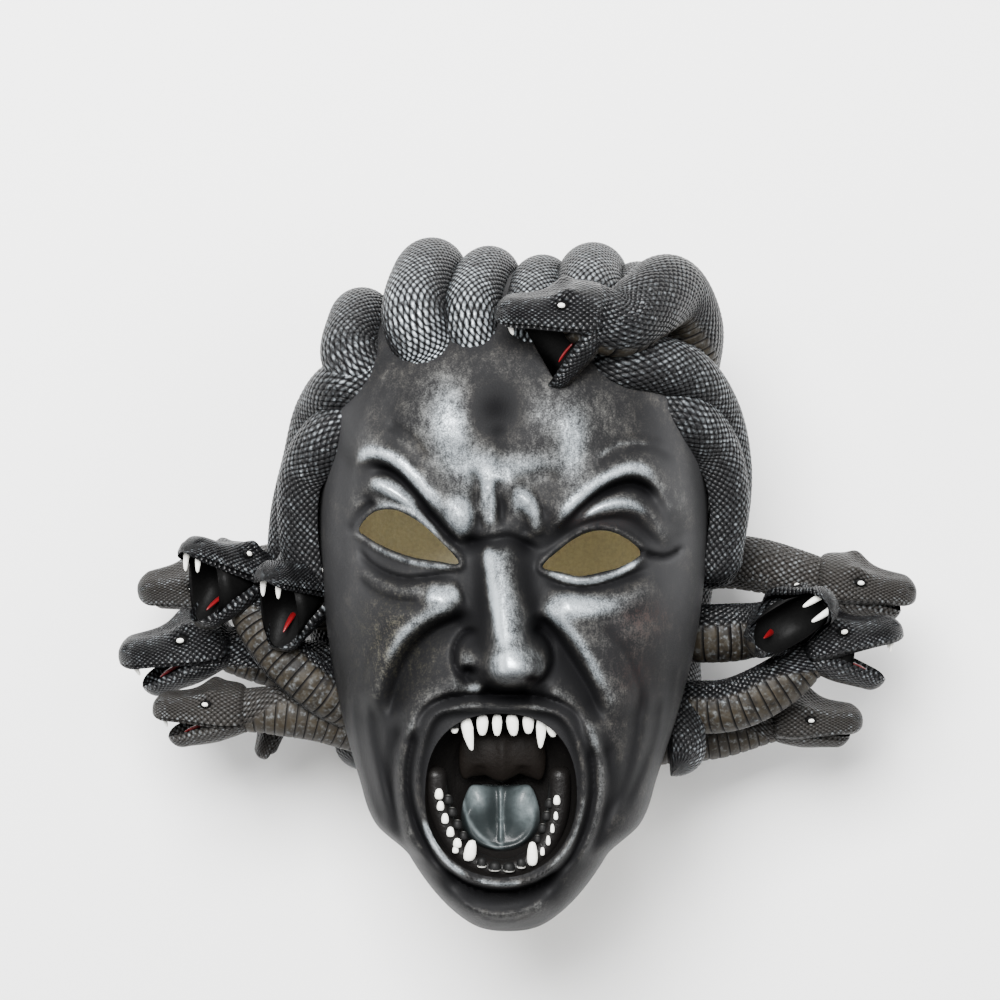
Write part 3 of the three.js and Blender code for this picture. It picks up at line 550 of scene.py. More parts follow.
def face_maps():
    """The relief of the face and the tones that its paint follows, painted highlights and painted shade among
    them.
    """
    relief, lips = sculpted_relief()
    fine, middle, broad = [relief.value - relief.blurred(radius) for radius in (2, 5, 12)]
    # Silver brushed on what stands up, and painted highlights; less of it in the hollows and round the lips
    silver_and_highlight = FaceMap()
    for patch in SILVER_PATCHES:
        silver_and_highlight.bump(*patch)
    for strength, width, points in SILVER_LINES:
        silver_and_highlight.fold(points, strength, width)
    silver_and_highlight.value += np.clip(0.06 * fine + 0.045 * middle + 0.014 * broad, -0.45, 0.3) + 0.02
    silver_and_highlight.value -= 0.22 * bell(lips, 4, 4)
    silver_and_highlight.value = silver_and_highlight.blurred(0.5)
    # Black wash and painted shade, darker in the creases and hollows of the relief; the forehead's dark
    # blotch is added to it
    wash_and_shade = FaceMap()
    wash_and_shade.value = np.clip(-0.3 * fine - 0.09 * middle - 0.02 * broad, 0, 1)
    wash_and_shade.value = wash_and_shade.blurred(0.6)
    wash_and_shade.bump(*BLOTCH)
    wash_and_shade.value = np.clip(wash_and_shade.value, 0, 1)
    return relief, silver_and_highlight, wash_and_shade


# Mesh helpers

def only(piece):
    """Makes one object the only selected and active one."""
    bpy.ops.object.select_all(action="DESELECT")
    piece.select_set(True)
    bpy.context.view_layer.objects.active = piece


def start(name, add, **size):
    """A named primitive, with everything else deselected."""
    bpy.ops.object.select_all(action="DESELECT")
    add(**size)
    piece = bpy.context.object
    piece.name = piece.data.name = name
    return piece


def rows_of(items, key, size):
    """One value of each of a mesh's points or corners, as the rows of an array."""
    flat = np.empty(len(items) * size)
    items.foreach_get(key, flat)
    return flat.reshape(-1, size)


def points_of(piece):
    return rows_of(piece.data.vertices, "co", 3)


def normals_of(piece):
    return rows_of(piece.data.vertex_normals, "vector", 3)


def read_attribute(piece, name):
    return rows_of(piece.data.attributes[name].data, "value", 1)[:, 0]


def move_points(piece, places):
    """Puts a mesh's points at places in millimetres."""
    piece.data.vertices.foreach_set("co", (np.asarray(places) * MM).ravel())
    piece.data.update()


def set_attribute(piece, name, values):
    layer = piece.data.attributes.get(name) or piece.data.attributes.new(name, "FLOAT", "POINT")
    layer.data.foreach_set("value", np.asarray(values, float).ravel())


def close_shell(piece):
    """Merges a shell's seam and poles and turns its faces outward."""
    only(piece)
    bpy.ops.object.mode_set(mode="EDIT")
    bpy.ops.mesh.select_all(action="SELECT")
    bpy.ops.mesh.remove_doubles(threshold=0.00002)
    bpy.ops.mesh.normals_make_consistent(inside=False)
    bpy.ops.object.mode_set(mode="OBJECT")
    bpy.ops.object.shade_smooth()


def wrapped_grid(name, around, along, place, uv_size, values, uv_start=0):
    """A closed shell from a grid: u runs round it and v from pole to pole. place gives the points in
    millimetres, uv_size the scales round and along, and values the attributes of the points."""
    piece = start(name, bpy.ops.mesh.primitive_grid_add, x_subdivisions=around, y_subdivisions=along, size=2)
    u, v = ((points_of(piece)[:, :2] + 1) / 2).T
    move_points(piece, place(u, v))
    for key, value in values(u, v).items():
        set_attribute(piece, key, value)
    layer = piece.data.uv_layers[0].data
    uv = rows_of(layer, "uv", 2) * uv_size - np.array([0, uv_start])
    layer.foreach_set("uv", uv.ravel())
    close_shell(piece)
    return piece


def ball(name, place, columns=16, rows=12):
    """A closed form from a sphere whose points are placed by a function."""
    piece = start(name, bpy.ops.mesh.primitive_uv_sphere_add, segments=columns, ring_count=rows, radius=1)
    move_points(piece, place(*points_of(piece).T))
    close_shell(piece)
    return piece


def cut(piece, cutter):
    only(piece)
    modifier = piece.modifiers.new("cut", "BOOLEAN")
    modifier.operation = "DIFFERENCE"
    modifier.solver = "MANIFOLD"
    modifier.material_mode = "TRANSFER"
    modifier.object = cutter
    bpy.ops.object.modifier_apply(modifier=modifier.name)
    bpy.data.objects.remove(cutter)


def join(name, pieces):
    bpy.ops.object.select_all(action="DESELECT")
    for piece in pieces:
        piece.select_set(True)
    bpy.context.view_layer.objects.active = pieces[0]
    bpy.ops.object.join()
    pieces[0].name = pieces[0].data.name = name
    return pieces[0]


def dress(piece, material):
    piece.data.materials.clear()
    piece.data.materials.append(material)
    return piece


def hand_over(piece, node="mask"):
    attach(piece, "root")
    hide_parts(node)


# Materials

PLAIN_SPECULAR = 0.08  # of a finish whose own specular map is dropped by an export
# Colours that aren't settings
# Darker, aged silver where little is brushed on and no highlight is painted
AGED_SILVER_OUT_OF_HIGHLIGHT = (0.36, 0.33, 0.28)
# Paler latex for the painted light on the head's sides
SIDE_LIGHT_LATEX = (0.03, 0.03, 0.031)
OLIVE = (0.13, 0.12, 0.08)
RUST = (0.028, 0.009, 0.007)
# Black of the wash and painted shade in the face's hollows
WASH_AND_SHADE_BLACK = (0.0025, 0.0025, 0.0028)
# Black of the wash and painted shade between the scales
SCALE_GROOVE_WASH_AND_SHADE = (0.002, 0.002, 0.002)
TOOTH_STAIN = (0.62, 0.58, 0.46)
TOOTH_ROOT = (0.0045, 0.0045, 0.0045)
TONGUE_DARK = (0.0115, 0.0145, 0.015)
# Colour of the tongue's paler paint and painted sheen
TONGUE_PALE_AND_SHEEN = (0.16, 0.19, 0.196)
POCKET_BLACK = (0.0045, 0.0041, 0.0039)
PALATE_BROWN = (0.0045, 0.0036, 0.003)
GUM_BLACK = (0.0045, 0.004, 0.0038)
THROAT_BLACK = (0.0035, 0.0035, 0.0035)


class Paint:
    """Builds one procedural material from small steps."""

    def __init__(self, name):
        self.material = bpy.data.materials.new(name)
        self.material.use_nodes = True
        self.tree = self.material.node_tree
        self.shader = self.tree.nodes["Principled BSDF"]
        self.coordinates = self.tree.nodes.new("ShaderNodeTexCoord")

    def put(self, socket, value):
        if isinstance(value, bpy.types.NodeSocket):
            self.tree.links.new(value, socket)
        elif value is not None:
            socket.default_value = value

    def math(self, operation, a, b=None, clamp=False):
        node = self.tree.nodes.new("ShaderNodeMath")
        node.operation = operation
        node.use_clamp = clamp
        for socket, value in zip(node.inputs, (a, b)):
            self.put(socket, value)
        return node.outputs[0]

    def plus(self, a, b):
        return self.math("ADD", a, b)

    def minus(self, a, b):
        return self.math("SUBTRACT", a, b)

    def times(self, a, b):
        return self.math("MULTIPLY", a, b)

    def power(self, a, b):
        return self.math("POWER", a, b)

    def uv(self):
        """The two coordinates of the piece's own UV map."""
        node = self.tree.nodes.new("ShaderNodeSeparateXYZ")
        self.put(node.inputs[0], self.coordinates.outputs["UV"])
        return node.outputs[0], node.outputs[1]

    def attribute(self, name):
        node = self.tree.nodes.new("ShaderNodeAttribute")
        node.attribute_name = name
        return node.outputs["Fac"]

    def noise(self, scale, detail=4, roughness=0.6, stretch=(1, 1, 1)):
        mapping = self.tree.nodes.new("ShaderNodeMapping")
        mapping.inputs["Scale"].default_value = stretch
        self.put(mapping.inputs["Vector"], self.coordinates.outputs["Object"])
        node = self.tree.nodes.new("ShaderNodeTexNoise")
        self.put(node.inputs["Vector"], mapping.outputs[0])
        node.inputs["Scale"].default_value = scale
        node.inputs["Detail"].default_value = detail
        node.inputs["Roughness"].default_value = roughness
        return node.outputs["Fac"]

    def spread(self, value, low, high, to_low=0.0, to_high=1.0):
        node = self.tree.nodes.new("ShaderNodeMapRange")
        for socket, number in zip(node.inputs, (value, low, high, to_low, to_high)):
            self.put(socket, number)
        return node.outputs[0]

    def mix(self, share, a, b):
        node = self.tree.nodes.new("ShaderNodeMix")
        node.data_type = "RGBA"
        self.put(node.inputs["Factor"], share)
        for socket, value in ((node.inputs[6], a), (node.inputs[7], b)):
            self.put(socket, value if isinstance(value, bpy.types.NodeSocket) else (*value, 1))
        return node.outputs[2]

    def bump(self, height, depth_mm, strength):
        node = self.tree.nodes.new("ShaderNodeBump")
        node.inputs["Strength"].default_value = strength
        node.inputs["Distance"].default_value = depth_mm * MM
        self.put(node.inputs["Height"], height)
        return node.outputs[0]

    def finish(self, colour, roughness, metallic=0.0, normal=None, coat=None, specular=0.25):
        colour = colour if isinstance(colour, bpy.types.NodeSocket) else (*colour, 1)
        self.put(self.shader.inputs["Base Color"], colour)
        self.put(self.shader.inputs["Roughness"], roughness)
        self.put(self.shader.inputs["Metallic"], metallic)
        self.put(self.shader.inputs["Normal"], normal)
        self.shader.inputs["Specular IOR Level"].default_value = PLAIN_SPECULAR
        self.put(self.shader.inputs["Specular IOR Level"], specular)
        if coat:
            self.put(self.shader.inputs["Coat Weight"], coat[0])
            self.shader.inputs["Coat Roughness"].default_value = coat[1]
            self.put(self.shader.inputs["Coat Normal"], normal)
        return self.material


def scale_height(paint):
    """Height of the scales from the piece's own UV map: domes on two staggered lattices."""
    across, along = paint.uv()
    wobble = paint.minus(paint.noise(240, 2), 0.5)
    u = paint.plus(across, paint.times(wobble, 0.5))
    v = paint.plus(along, paint.times(wobble, 0.4))
    domes = []
    for shift in (0.0, 0.5):
        du = paint.minus(paint.math("FRACT", paint.plus(u, shift)), 0.5)
        dv = paint.minus(paint.math("FRACT", paint.plus(paint.times(v, 0.5), shift)), 0.5)
        squares = [paint.power(paint.math("ABSOLUTE", paint.times(d, size)), 2.0)
                   for d, size in zip((du, dv), SCALE_FILL)]
        domes.append(paint.plus(*squares))
    return paint.math("SUBTRACT", 1.0, paint.math("MINIMUM", *domes), clamp=True)


def plate_groove(paint):
    """1 in the grooves between the belly plates, from the UV map's second coordinate."""
    phase = paint.math("FRACT", paint.times(paint.uv()[1], SCALE_ROW / PLATE_LENGTH))
    return paint.spread(phase, PLATE_EDGE, 1.0)


def painted_latex(name, finish):
    """Dark latex with silver brushed over what stands up and painted highlights, paler on the head's sides as
    painted light, stained olive and rust in places, and with black wash and painted shade in its hollows.
    """
    paint = Paint(name)
    grain = paint.noise(1100, 3, 0.75)
    strokes = paint.noise(260, 6, 0.75, (1.3, 0.7, 1))
    mottle = paint.noise(70, 5, 0.65)
    silver_and_highlight, wash_and_shade = paint.attribute("silver_and_highlight"), paint.attribute("wash_and_shade")
    mixed = paint.plus(paint.times(grain, 0.5), paint.times(strokes, 0.5))
    rough_edge = paint.spread(silver_and_highlight, -0.1, 0.5, 0.9, 2.6)
    level = paint.plus(silver_and_highlight, paint.times(paint.minus(mixed, 0.5), rough_edge))
    level = paint.plus(level, paint.times(paint.minus(mottle, 0.5), 0.7))
    silver = paint.power(paint.spread(level, 0.0, 1.15), 2.0)
    # The silver brightens from aged silver where more is brushed on and where a highlight is painted
    brushed = paint.mix(paint.spread(silver_and_highlight, 0.05, 0.5), AGED_SILVER_OUT_OF_HIGHLIGHT, finish.silver)
    # Paler latex on the head's upper sides, as painted light
    bare = paint.mix(paint.attribute("side_light"), finish.latex, SIDE_LIGHT_LATEX)
    colour = paint.mix(silver, bare, brushed)
    olive = paint.times(paint.attribute("olive"), paint.spread(mixed, 0.5, 0.72))
    colour = paint.mix(paint.times(olive, 0.6), colour, OLIVE)
    rust = paint.times(paint.attribute("rust"), paint.spread(mixed, 0.46, 0.66))
    colour = paint.mix(rust, colour, RUST)
    # Black wash and painted shade in the hollows, whose reflection is cut as well
    colour = paint.mix(paint.times(wash_and_shade, 0.9), colour, WASH_AND_SHADE_BLACK)
    return paint.finish(
        colour, paint.spread(silver, 0.0, 0.5, 0.52, 0.34), paint.times(silver, 0.85),
        paint.bump(paint.plus(mixed, paint.times(mottle, 0.6)), 0.45, 0.7),
        specular=paint.spread(wash_and_shade, 0, 1, 0.08, 0.01))


def scaled_latex(name, finish, latex, shine=0.0):
    """Scales with silver on their tops, partly painted highlight, black wash and painted shade in the grooves
    between them, and tan belly plates where the "belly" attribute says so.
    """
    paint = Paint(name)
    height = scale_height(paint)
    belly = paint.attribute("belly")
    plates = paint.minus(1.0, plate_groove(paint))
    mottle = paint.noise(110, 4, 0.65)
    patchy = paint.noise(380, 2, 0.6)
    form = paint.plus(paint.times(height, paint.minus(1.0, belly)), paint.times(plates, belly))
    level = paint.plus(paint.attribute("silver_and_highlight"), paint.minus(mottle, 0.5))
    level = paint.plus(level, paint.times(paint.minus(patchy, 0.5), 1.9))
    tops = paint.power(paint.spread(form, 0.4, 1.0), 3.0)
    silver = paint.times(paint.power(paint.spread(level, 0.0, 1.0), 2.2), tops)
    # Black wash and painted shade in the grooves, whose reflection is cut as well
    dark = paint.mix(paint.spread(form, 0.05, 0.6), SCALE_GROOVE_WASH_AND_SHADE, latex)
    colour = paint.mix(silver, dark, finish.silver)
    tan = paint.times(belly, paint.spread(plates, 0.3, 0.9, 0.0, 0.9))
    tan = paint.times(tan, paint.spread(mottle, 0.35, 0.6, 0.15, 1.0))
    colour = paint.mix(tan, colour, finish.belly)
    roughness = paint.plus(paint.spread(patchy, 0.3, 0.7, 0.3, 0.5), paint.times(belly, 0.2))
    coat = (paint.spread(belly, 0, 1, shine, 0), 0.17) if shine else None
    return paint.finish(colour, roughness, paint.times(silver, 0.6), paint.bump(form, 1.1, 0.9), coat,
                        specular=paint.spread(form, 0.1, 0.8, 0.02, 0.13))


def plain_latex(name, colour, roughness, grain_mm=0.2, coat=None, specular=0.25):
    paint = Paint(name)
    grain = paint.noise(500, 5, 0.6)
    shade = paint.mix(paint.spread(grain, 0.35, 0.7), colour, [c * 0.8 for c in colour])
    return paint.finish(shade, roughness, 0.0, paint.bump(grain, grain_mm, 0.6), coat, specular)


def stained_white(paint, finish):
    stain = paint.spread(paint.noise(400, 4, 0.6), 0.35, 0.7, 0.0, 0.35)
    return paint.mix(stain, finish.tooth, TOOTH_STAIN)


def fang_paint(name, finish):
    paint = Paint(name)
    return paint.finish(stained_white(paint, finish), 0.32, coat=(0.3, 0.2))


def tooth_paint(name, finish):
    """White paint over dark latex, down to where a tooth's "white" attribute ends."""
    paint = Paint(name)
    white = stained_white(paint, finish)
    share = paint.attribute("white")
    return paint.finish(
        paint.mix(share, TOOTH_ROOT, white), paint.spread(share, 0, 1, 0.5, 0.32),
        coat=(paint.times(share, 0.3), 0.2), specular=paint.spread(share, 0, 1, 0.1, 0.25))


def tongue_latex(name):
    """Wet grey latex, lighter where the "light" attribute says so: paler paint and painted sheen."""
    paint = Paint(name)
    grain = paint.noise(260, 5, 0.65)
    light = paint.times(paint.attribute("light"), paint.spread(grain, 0.3, 0.7, 0.4, 1.0))
    colour = paint.mix(light, TONGUE_DARK, TONGUE_PALE_AND_SHEEN)
    return paint.finish(colour, 0.32, 0.0, paint.bump(grain, 0.4, 0.6), (0.1, 0.2), 0.12)


def ready(make, name, *wanted, **more):
    """A material by name, made the first time that it is asked for."""
    return bpy.data.materials.get(name) or make(name, *wanted, **more)


# Settings

def colour_setting(name, description, default):
    return bpy.props.FloatVectorProperty(
        name=name, description=description, subtype="COLOR", default=default, min=0, max=1)


class MaskFinish(bpy.types.PropertyGroup):
    """Colours of the painted latex."""

    latex: colour_setting("Latex", "Dark gunmetal of the painted latex", (0.008, 0.008, 0.0085))
    # The silver is also the colour of the painted highlights
    silver: colour_setting("Silver", "Silver brushed over the raised forms", (0.56, 0.62, 0.66))
    inside: colour_setting("Inside", "Bare latex inside the hood", (0.93, 0.86, 0.64))
    belly: colour_setting("Belly plates", "Tan of the snakes' belly plates", (0.024, 0.019, 0.012))
    matt_scales: colour_setting("Matt scales", "Brown of the matt snakes' scales", (0.019, 0.0175, 0.016))
    glossy_scales: colour_setting(
        "Glossy scales", "Near black of the glossy snakes' scales", (0.0045, 0.0045, 0.005))
    tooth: colour_setting("Teeth", "White paint of teeth and fangs", (0.86, 0.86, 0.82))
    tongue: colour_setting("Snake tongue", "Red of the snakes' tongues", (0.12, 0.003, 0.005))


class MaskSizes(bpy.types.PropertyGroup):
    """Sizes of the mask that can be changed."""

    wall: bpy.props.FloatProperty(
        name="Wall", description="Thickness of the latex", default=0.004, unit="LENGTH")
    scale_depth: bpy.props.FloatProperty(
        name="Scale depth", description="Height of a scale over the groove beside it", default=0.0007,
        unit="LENGTH")
    camera_height: bpy.props.FloatProperty(
        name="Camera height", description="Height of the camera over the floor", default=1.75, unit="LENGTH")


# Face and hood

SKIN_GRID = (256, 336)  # columns and rows
CAVITY_GRID = (84, 72)
SKIN_SHARES = (0.85, 0.2)  # share of the columns on the face, and of the rows over the crown
CAVITY_SHARES = (0.66, 0.27)
CHIN_SHARE = 0.13  # share of the rows under the chin
CENTRE_CROWDING = 0.3  # how much closer the columns lie at the middle of the face
WIDER_RIGHT = 0.06  # how much farther the face's skin goes on the viewer's right
INSIDE_REACH, INSIDE_BLUR = 4.5, 2  # how much softer the relief is on the inside
CUTTER_LOW, CUTTER_HIGH = 150, 260  # depths between which the eye holes are cut
SHARP_EDGE = 50  # degrees


def head_points(turn, polar, front_share, crown_share, relief):
    """Places of a sphere's points on the head, from their turn about it (-1 to 1) and their share of the
    way down."""
    crown_y = CROWN_Y + CROWN_RISE * np.cos(np.pi / 2 * polar / crown_share)
    side_y = CROWN_Y + (CHIN_Y - CROWN_Y) * (polar - crown_share) / (1 - CHIN_SHARE - crown_share)
    chin_y = CHIN_Y - CHIN_DROP * np.sin(np.pi / 2 * (polar - 1 + CHIN_SHARE) / CHIN_SHARE)
    y = np.select([polar < crown_share, polar < 1 - CHIN_SHARE], [crown_y, side_y], chin_y)
    width, front, middle, back = section_at(y)
    side, share = np.sign(turn), np.abs(turn)
    t = np.clip(share / front_share, 0, 1)
    across = np.sin(np.pi / 2 * (t - CENTRE_CROWDING * np.sin(np.pi * t) / np.pi))
    lift = fall(across, FRONT_POWER)
    wider = 1 + WIDER_RIGHT * (side > 0) * smooth(y, -120, -20) * smooth(lift, 0, 0.3)
    x_front = FACE_X + side * width * across * wider
    faded = smooth(lift, 0.3, 0.75) * smooth(y, -192, -184) * (1 - smooth(y, 95, 118))
    z_front = middle + (front - middle) * lift + faded * relief.read(x_front, y)
    behind = np.sin(np.pi / 2 * (1 - np.clip((share - front_share) / (1 - front_share), 0, 1)))
    x_back = FACE_X + side * width * behind
    z_back = middle - (middle - back) * fall(behind, BACK_POWER)
    in_front = share < front_share
    return np.stack([np.where(in_front, x_front, x_back), y, np.where(in_front, z_front, z_back)], 1)


def head_form(name, grid, shares, relief, inset=0):
    """The whole head as a closed form, moved inwards by an inset in millimetres."""
    piece = start(name, bpy.ops.mesh.primitive_uv_sphere_add, segments=grid[0], ring_count=grid[1], radius=1)
    x, y, z = points_of(piece).T
    polar = np.arccos(np.clip(z, -1, 1)) / np.pi
    turn = np.arctan2(x, -y) / np.pi
    turn = np.where(np.abs(turn) < 1e-9, 0, turn)
    move_points(piece, head_points(turn, polar, *shares, relief))
    close_shell(piece)
    if inset:
        move_points(piece, points_of(piece) / MM - inset * normals_of(piece))
    return piece


def extruded_outline(name, outline, low, high):
    """A prism through the face from a closed outline, as a cutter."""
    line = smooth_curve(outline, 8, closed=True)
    piece = start(name, bpy.ops.mesh.primitive_circle_add, vertices=len(line), radius=1, fill_type="NGON")
    move_points(piece, np.column_stack([line, np.full(len(line), low)]))
    bpy.ops.object.mode_set(mode="EDIT")
    bpy.ops.mesh.select_all(action="SELECT")
    bpy.ops.mesh.extrude_region_move(TRANSFORM_OT_translate={"value": (0, 0, (high - low) * MM)})
    bpy.ops.mesh.select_all(action="SELECT")
    bpy.ops.mesh.normals_make_consistent(inside=False)
    bpy.ops.object.mode_set(mode="OBJECT")
    return piece


def mouth_pocket(name, grow):
    """The hollow of the mouth, or with grow its wall: an oval bowl that is partly squared off."""
    def place(a, b, c):
        square = (np.abs(a) ** POCKET_POWER + np.abs(b) ** POCKET_POWER + 1e-12) ** (1 / POCKET_POWER)
        stretch = 1 + (np.hypot(a, b) / square - 1) * np.where(b > 0, *POCKET_SQUARE)
        return np.stack([
            MOUTH["x"] + (MOUTH["width"] + grow) * a * stretch,
            MOUTH["y"] + (MOUTH["height"] + grow) * b * stretch,
            MOUTH["z"] + (MOUTH["depth"] + grow) * c,
        ], 1)
    return ball(name, place, 64, 32)


def slanted_box(name):
    """The half-space behind the slanting neck opening."""
    size = 600
    piece = start(name, bpy.ops.mesh.primitive_cube_add, size=1)
    corners = points_of(piece) * size - np.array([0, 0, size / 2])
    c, s = math.cos(math.atan(NECK_CUT_SLOPE)), math.sin(math.atan(NECK_CUT_SLOPE))
    turn = np.array([[1, 0, 0], [0, c, s], [0, -s, c]])
    move_points(piece, corners @ turn.T + np.array(NECK_CUT_POINT))
    return piece


def cast_head(finish, wall, relief):
    """The hollow head with its mouth, its eye holes and its neck opening."""
    outer = ready(painted_latex, "painted_latex", finish)
    inner = ready(plain_latex, "bare_latex", finish.inside, 0.55)
    gum = ready(plain_latex, "dark_gum", POCKET_BLACK, 0.45, 0.6, specular=0.04)
    skin = dress(head_form("mask_skin", SKIN_GRID, SKIN_SHARES, relief), outer)
    soft = FaceMap()
    soft.value = relief.lowest(INSIDE_REACH)
    soft.value = soft.blurred(INSIDE_BLUR)
    cavity = dress(head_form("cavity", CAVITY_GRID, CAVITY_SHARES, soft, wall), inner)
    cut(cavity, dress(mouth_pocket("pocket_wall", wall), inner))
    cut(skin, cavity)
    cut(skin, dress(mouth_pocket("pocket", 0), gum))
    for side, outline in EYE_OUTLINES.items():
        cut(skin, dress(extruded_outline(side + "_eye_hole", outline, CUTTER_LOW, CUTTER_HIGH), outer))
    cut(skin, dress(slanted_box("neck_cut"), inner))
    return skin


def tone_head(skin, silver_and_highlight, wash_and_shade):
    """Gives the skin the attributes that its paint reads."""
    x, y, z = points_of(skin).T / MM
    middle = section_at(y)[2]
    facing = smooth(z, middle + 10, middle + 40)
    # Painted light: the latex is paler on the upper sides of the head, more on the viewer's right
    sides = smooth(np.abs(x + 2), 62, 94) * smooth(y, -60, 0) * np.where(x < 0, 0.62, 1)
    tones = {
        "silver_and_highlight": silver_and_highlight.read(x, y) * facing - 0.25 * (1 - facing),
        "wash_and_shade": wash_and_shade.read(x, y) * facing,
        "side_light": sides,
        "olive": spots_at(x, y, [OLIVE_STAIN]) * facing,
        "rust": spots_at(x, y, RUST_PATCHES) * facing,
    }
    for name, tone in tones.items():
        set_attribute(skin, name, tone)


class MASK_OT_skin(bpy.types.Operator):
    """Sculpts the face and the hollow hood as one casting"""

    bl_idname = "medusa.skin"
    bl_label = "Face and hood"

    def execute(self, context):
        relief, silver_and_highlight, wash_and_shade = face_maps()
        skin = cast_head(context.scene.mask_finish, context.scene.mask_sizes.wall / MM, relief)
        tone_head(skin, silver_and_highlight, wash_and_shade)
        only(skin)
        bpy.ops.object.shade_smooth_by_angle(angle=math.radians(SHARP_EDGE))
        hand_over(skin)
        return {"FINISHED"}


# Teeth, tongue and palate

def lean_tooth(x, y, half_width, half_length, lean, white, depth, root_up):
    """A tooth lying in the mouth's plane: a flat-sided peg with a rounded end."""
    def place(a, b, c):
        blunt = np.maximum(np.hypot(a, c), 1e-6) ** -0.45
        narrow = 1 - (0.28 if half_length < 7 else 0.5) * smooth(-b * root_up, -0.4, 1)
        length = signed_power(b, 0.55 if white <= 0 else 0.8)
        return np.stack([
            x + half_width * a * blunt * narrow - lean * b * root_up,
            y + half_length * length,
            depth + half_width * 0.8 * c * blunt * narrow,
        ], 1)
    piece = ball("tooth", place, 14, 12)
    share = (points_of(piece)[:, 1] / MM - y) / half_length * root_up
    if white < 0:
        set_attribute(piece, "white", smooth(share, 2 * white + 0.95, 2 * white + 1.1))
    else:
        set_attribute(piece, "white", 1 - smooth(share, 2 * white - 1.2, 2 * white - 0.9))
    return piece


def build_teeth(finish):
    teeth = [lean_tooth(*row, UPPER_TEETH_Z, 1) for row in UPPER_TEETH]
    for row in LOWER_TEETH:
        teeth.append(lean_tooth(*row, WHITE_TEETH_Z if row[5] else DARK_TEETH_Z, -1))
    return dress(join("teeth", teeth), ready(tooth_paint, "tooth_paint", finish))


def build_tongue():
    """A tongue with a ridge in the trough along its middle and a rim round its front."""
    def place(a, b, c):
        edge = np.hypot(a, b)
        trough = bell(a, 0, 0.26) * smooth(b, -0.8, -0.1)
        hump = bell(np.abs(a), 0.5, 0.26) * smooth(b, -0.4, 0.7)
        ridge = bell(a, 0, 0.05) * smooth(b, -0.75, -0.5)
        rim = bell(edge, 0.84, 0.1) * (1 - smooth(b, 0.1, 0.6))
        lobe = 0.2 * bell(np.abs(a), 0.52, 0.3) * smooth(b, 0.3, 1)
        top = 6 * arc(edge ** 2) + 2.6 * rim - 5.4 * trough + 3 * ridge + 3 * hump
        z = 180 + np.where(c > 0, top, 6 * c)
        square = np.maximum(arc(b), 0.25) ** np.where(b > 0, -0.6, -0.1)
        return np.stack([-8 + 21 * a * square, -128 + 17.5 * b + 12 * lobe, z], 1)
    piece = ball("tongue", place, 128, 64)
    x, y, _ = points_of(piece).T / MM
    rim_distance = nearest_on_line(smooth_curve(TONGUE_RIM_SHEEN, 6), x, y)[0]
    # Paler paint and painted sheen on the humps, the middle ridge and the front rim
    set_attribute(piece, "light", 0.5 * bell(rim_distance, 0, 0.9) + spots_at(x, y, TONGUE_PALE_AND_SHEEN_SPOTS))
    return dress(piece, ready(tongue_latex, "tongue_latex"))


def build_palate():
    """The roof of the mouth: two arches with a fold between them."""
    def place(a, b, c):
        across = a * np.maximum(arc(b), 0.2) ** -0.85
        arch = 0.42 * bell(np.abs(across + 0.03), 0.5, 0.26) * smooth(-b, 0.1, 0.9)
        fold = 1.2 * bell(across, 0, 0.12) * smooth(c, 0, 0.5)
        return np.stack([-7 + 23 * across, -95 + 13.5 * (b + arch), 186 + 5 * c + fold], 1)
    return dress(ball("palate", place, 64, 32),
                 ready(plain_latex, "palate_latex", PALATE_BROWN, 0.5, 0.4, specular=0.04))


def build_gum_ridge():
    def top_of(places):
        return np.tile([0.0, 0, 1], (len(places), 1))
    return dress(tube_shell("gum_ridge", [(x, y, GUM_Z) for x, y in GUM_LINE], GUM_RADIUS, top_of, 0),
                 ready(plain_latex, "ridge_gum", GUM_BLACK, 0.35, 0.6, specular=0.12))


class MASK_OT_mouth(bpy.types.Operator):
    """Sets the teeth, the tongue, the palate and the lower gum into the mouth"""

    bl_idname = "medusa.mouth"
    bl_label = "Teeth and tongue"

    def execute(self, context):
        hand_over(build_teeth(context.scene.mask_finish))
        hand_over(build_tongue())
        hand_over(build_palate())
        hand_over(build_gum_ridge())
        return {"FINISHED"}


# Coils and necks

BURIED = 2.6  # depth of a coil's flat side in the hood's wall
CAP = 0.9  # length of a rounded end, as a share of the radius
GRID_STEP = 1.2  # along a coil or neck
FLAT_COIL_ARC = math.radians(125)  # how far round from its top a coil is round
BELLY_FROM, BELLY_FULL = math.radians(118), math.radians(138)  # angles from a neck's back


def along_path(points, spacing):
    """Evenly spaced points on a smooth path, the tangent at each, the path's length, and what else the
    path's points hold."""
    fine = smooth_curve(points, 60)
    lengths = np.concatenate([[0], np.cumsum(np.linalg.norm(np.diff(fine[:, :3], axis=0), axis=1))])
    count = max(2, round(lengths[-1] / spacing)) + 1
    even = np.linspace(0, lengths[-1], count)
    places = np.stack([np.interp(even, lengths, fine[:, k]) for k in range(fine.shape[1])], 1)
    tangents = np.gradient(places[:, :3], axis=0)
    tangents /= np.linalg.norm(tangents, axis=1)[:, None]
    return places[:, :3], tangents, lengths[-1], places[:, 3:]


def outward(places):
    """The way out of the hood at some places."""
    x, y, z = places.T
    width, front, middle, back = section_at(np.minimum(y, CROWN_Y))
    depth = np.where(z > middle, front - middle, middle - back)
    across, up, deep = (x - FACE_X) / width, np.maximum(y - CROWN_Y, 0) / CROWN_RISE, (z - middle) / depth
    normal = np.stack([
        signed_power(across, 1.5) / width,
        up / CROWN_RISE,
        signed_power(deep, 1.5) / depth,
    ], 1)
    return normal / np.linalg.norm(normal, axis=1)[:, None]


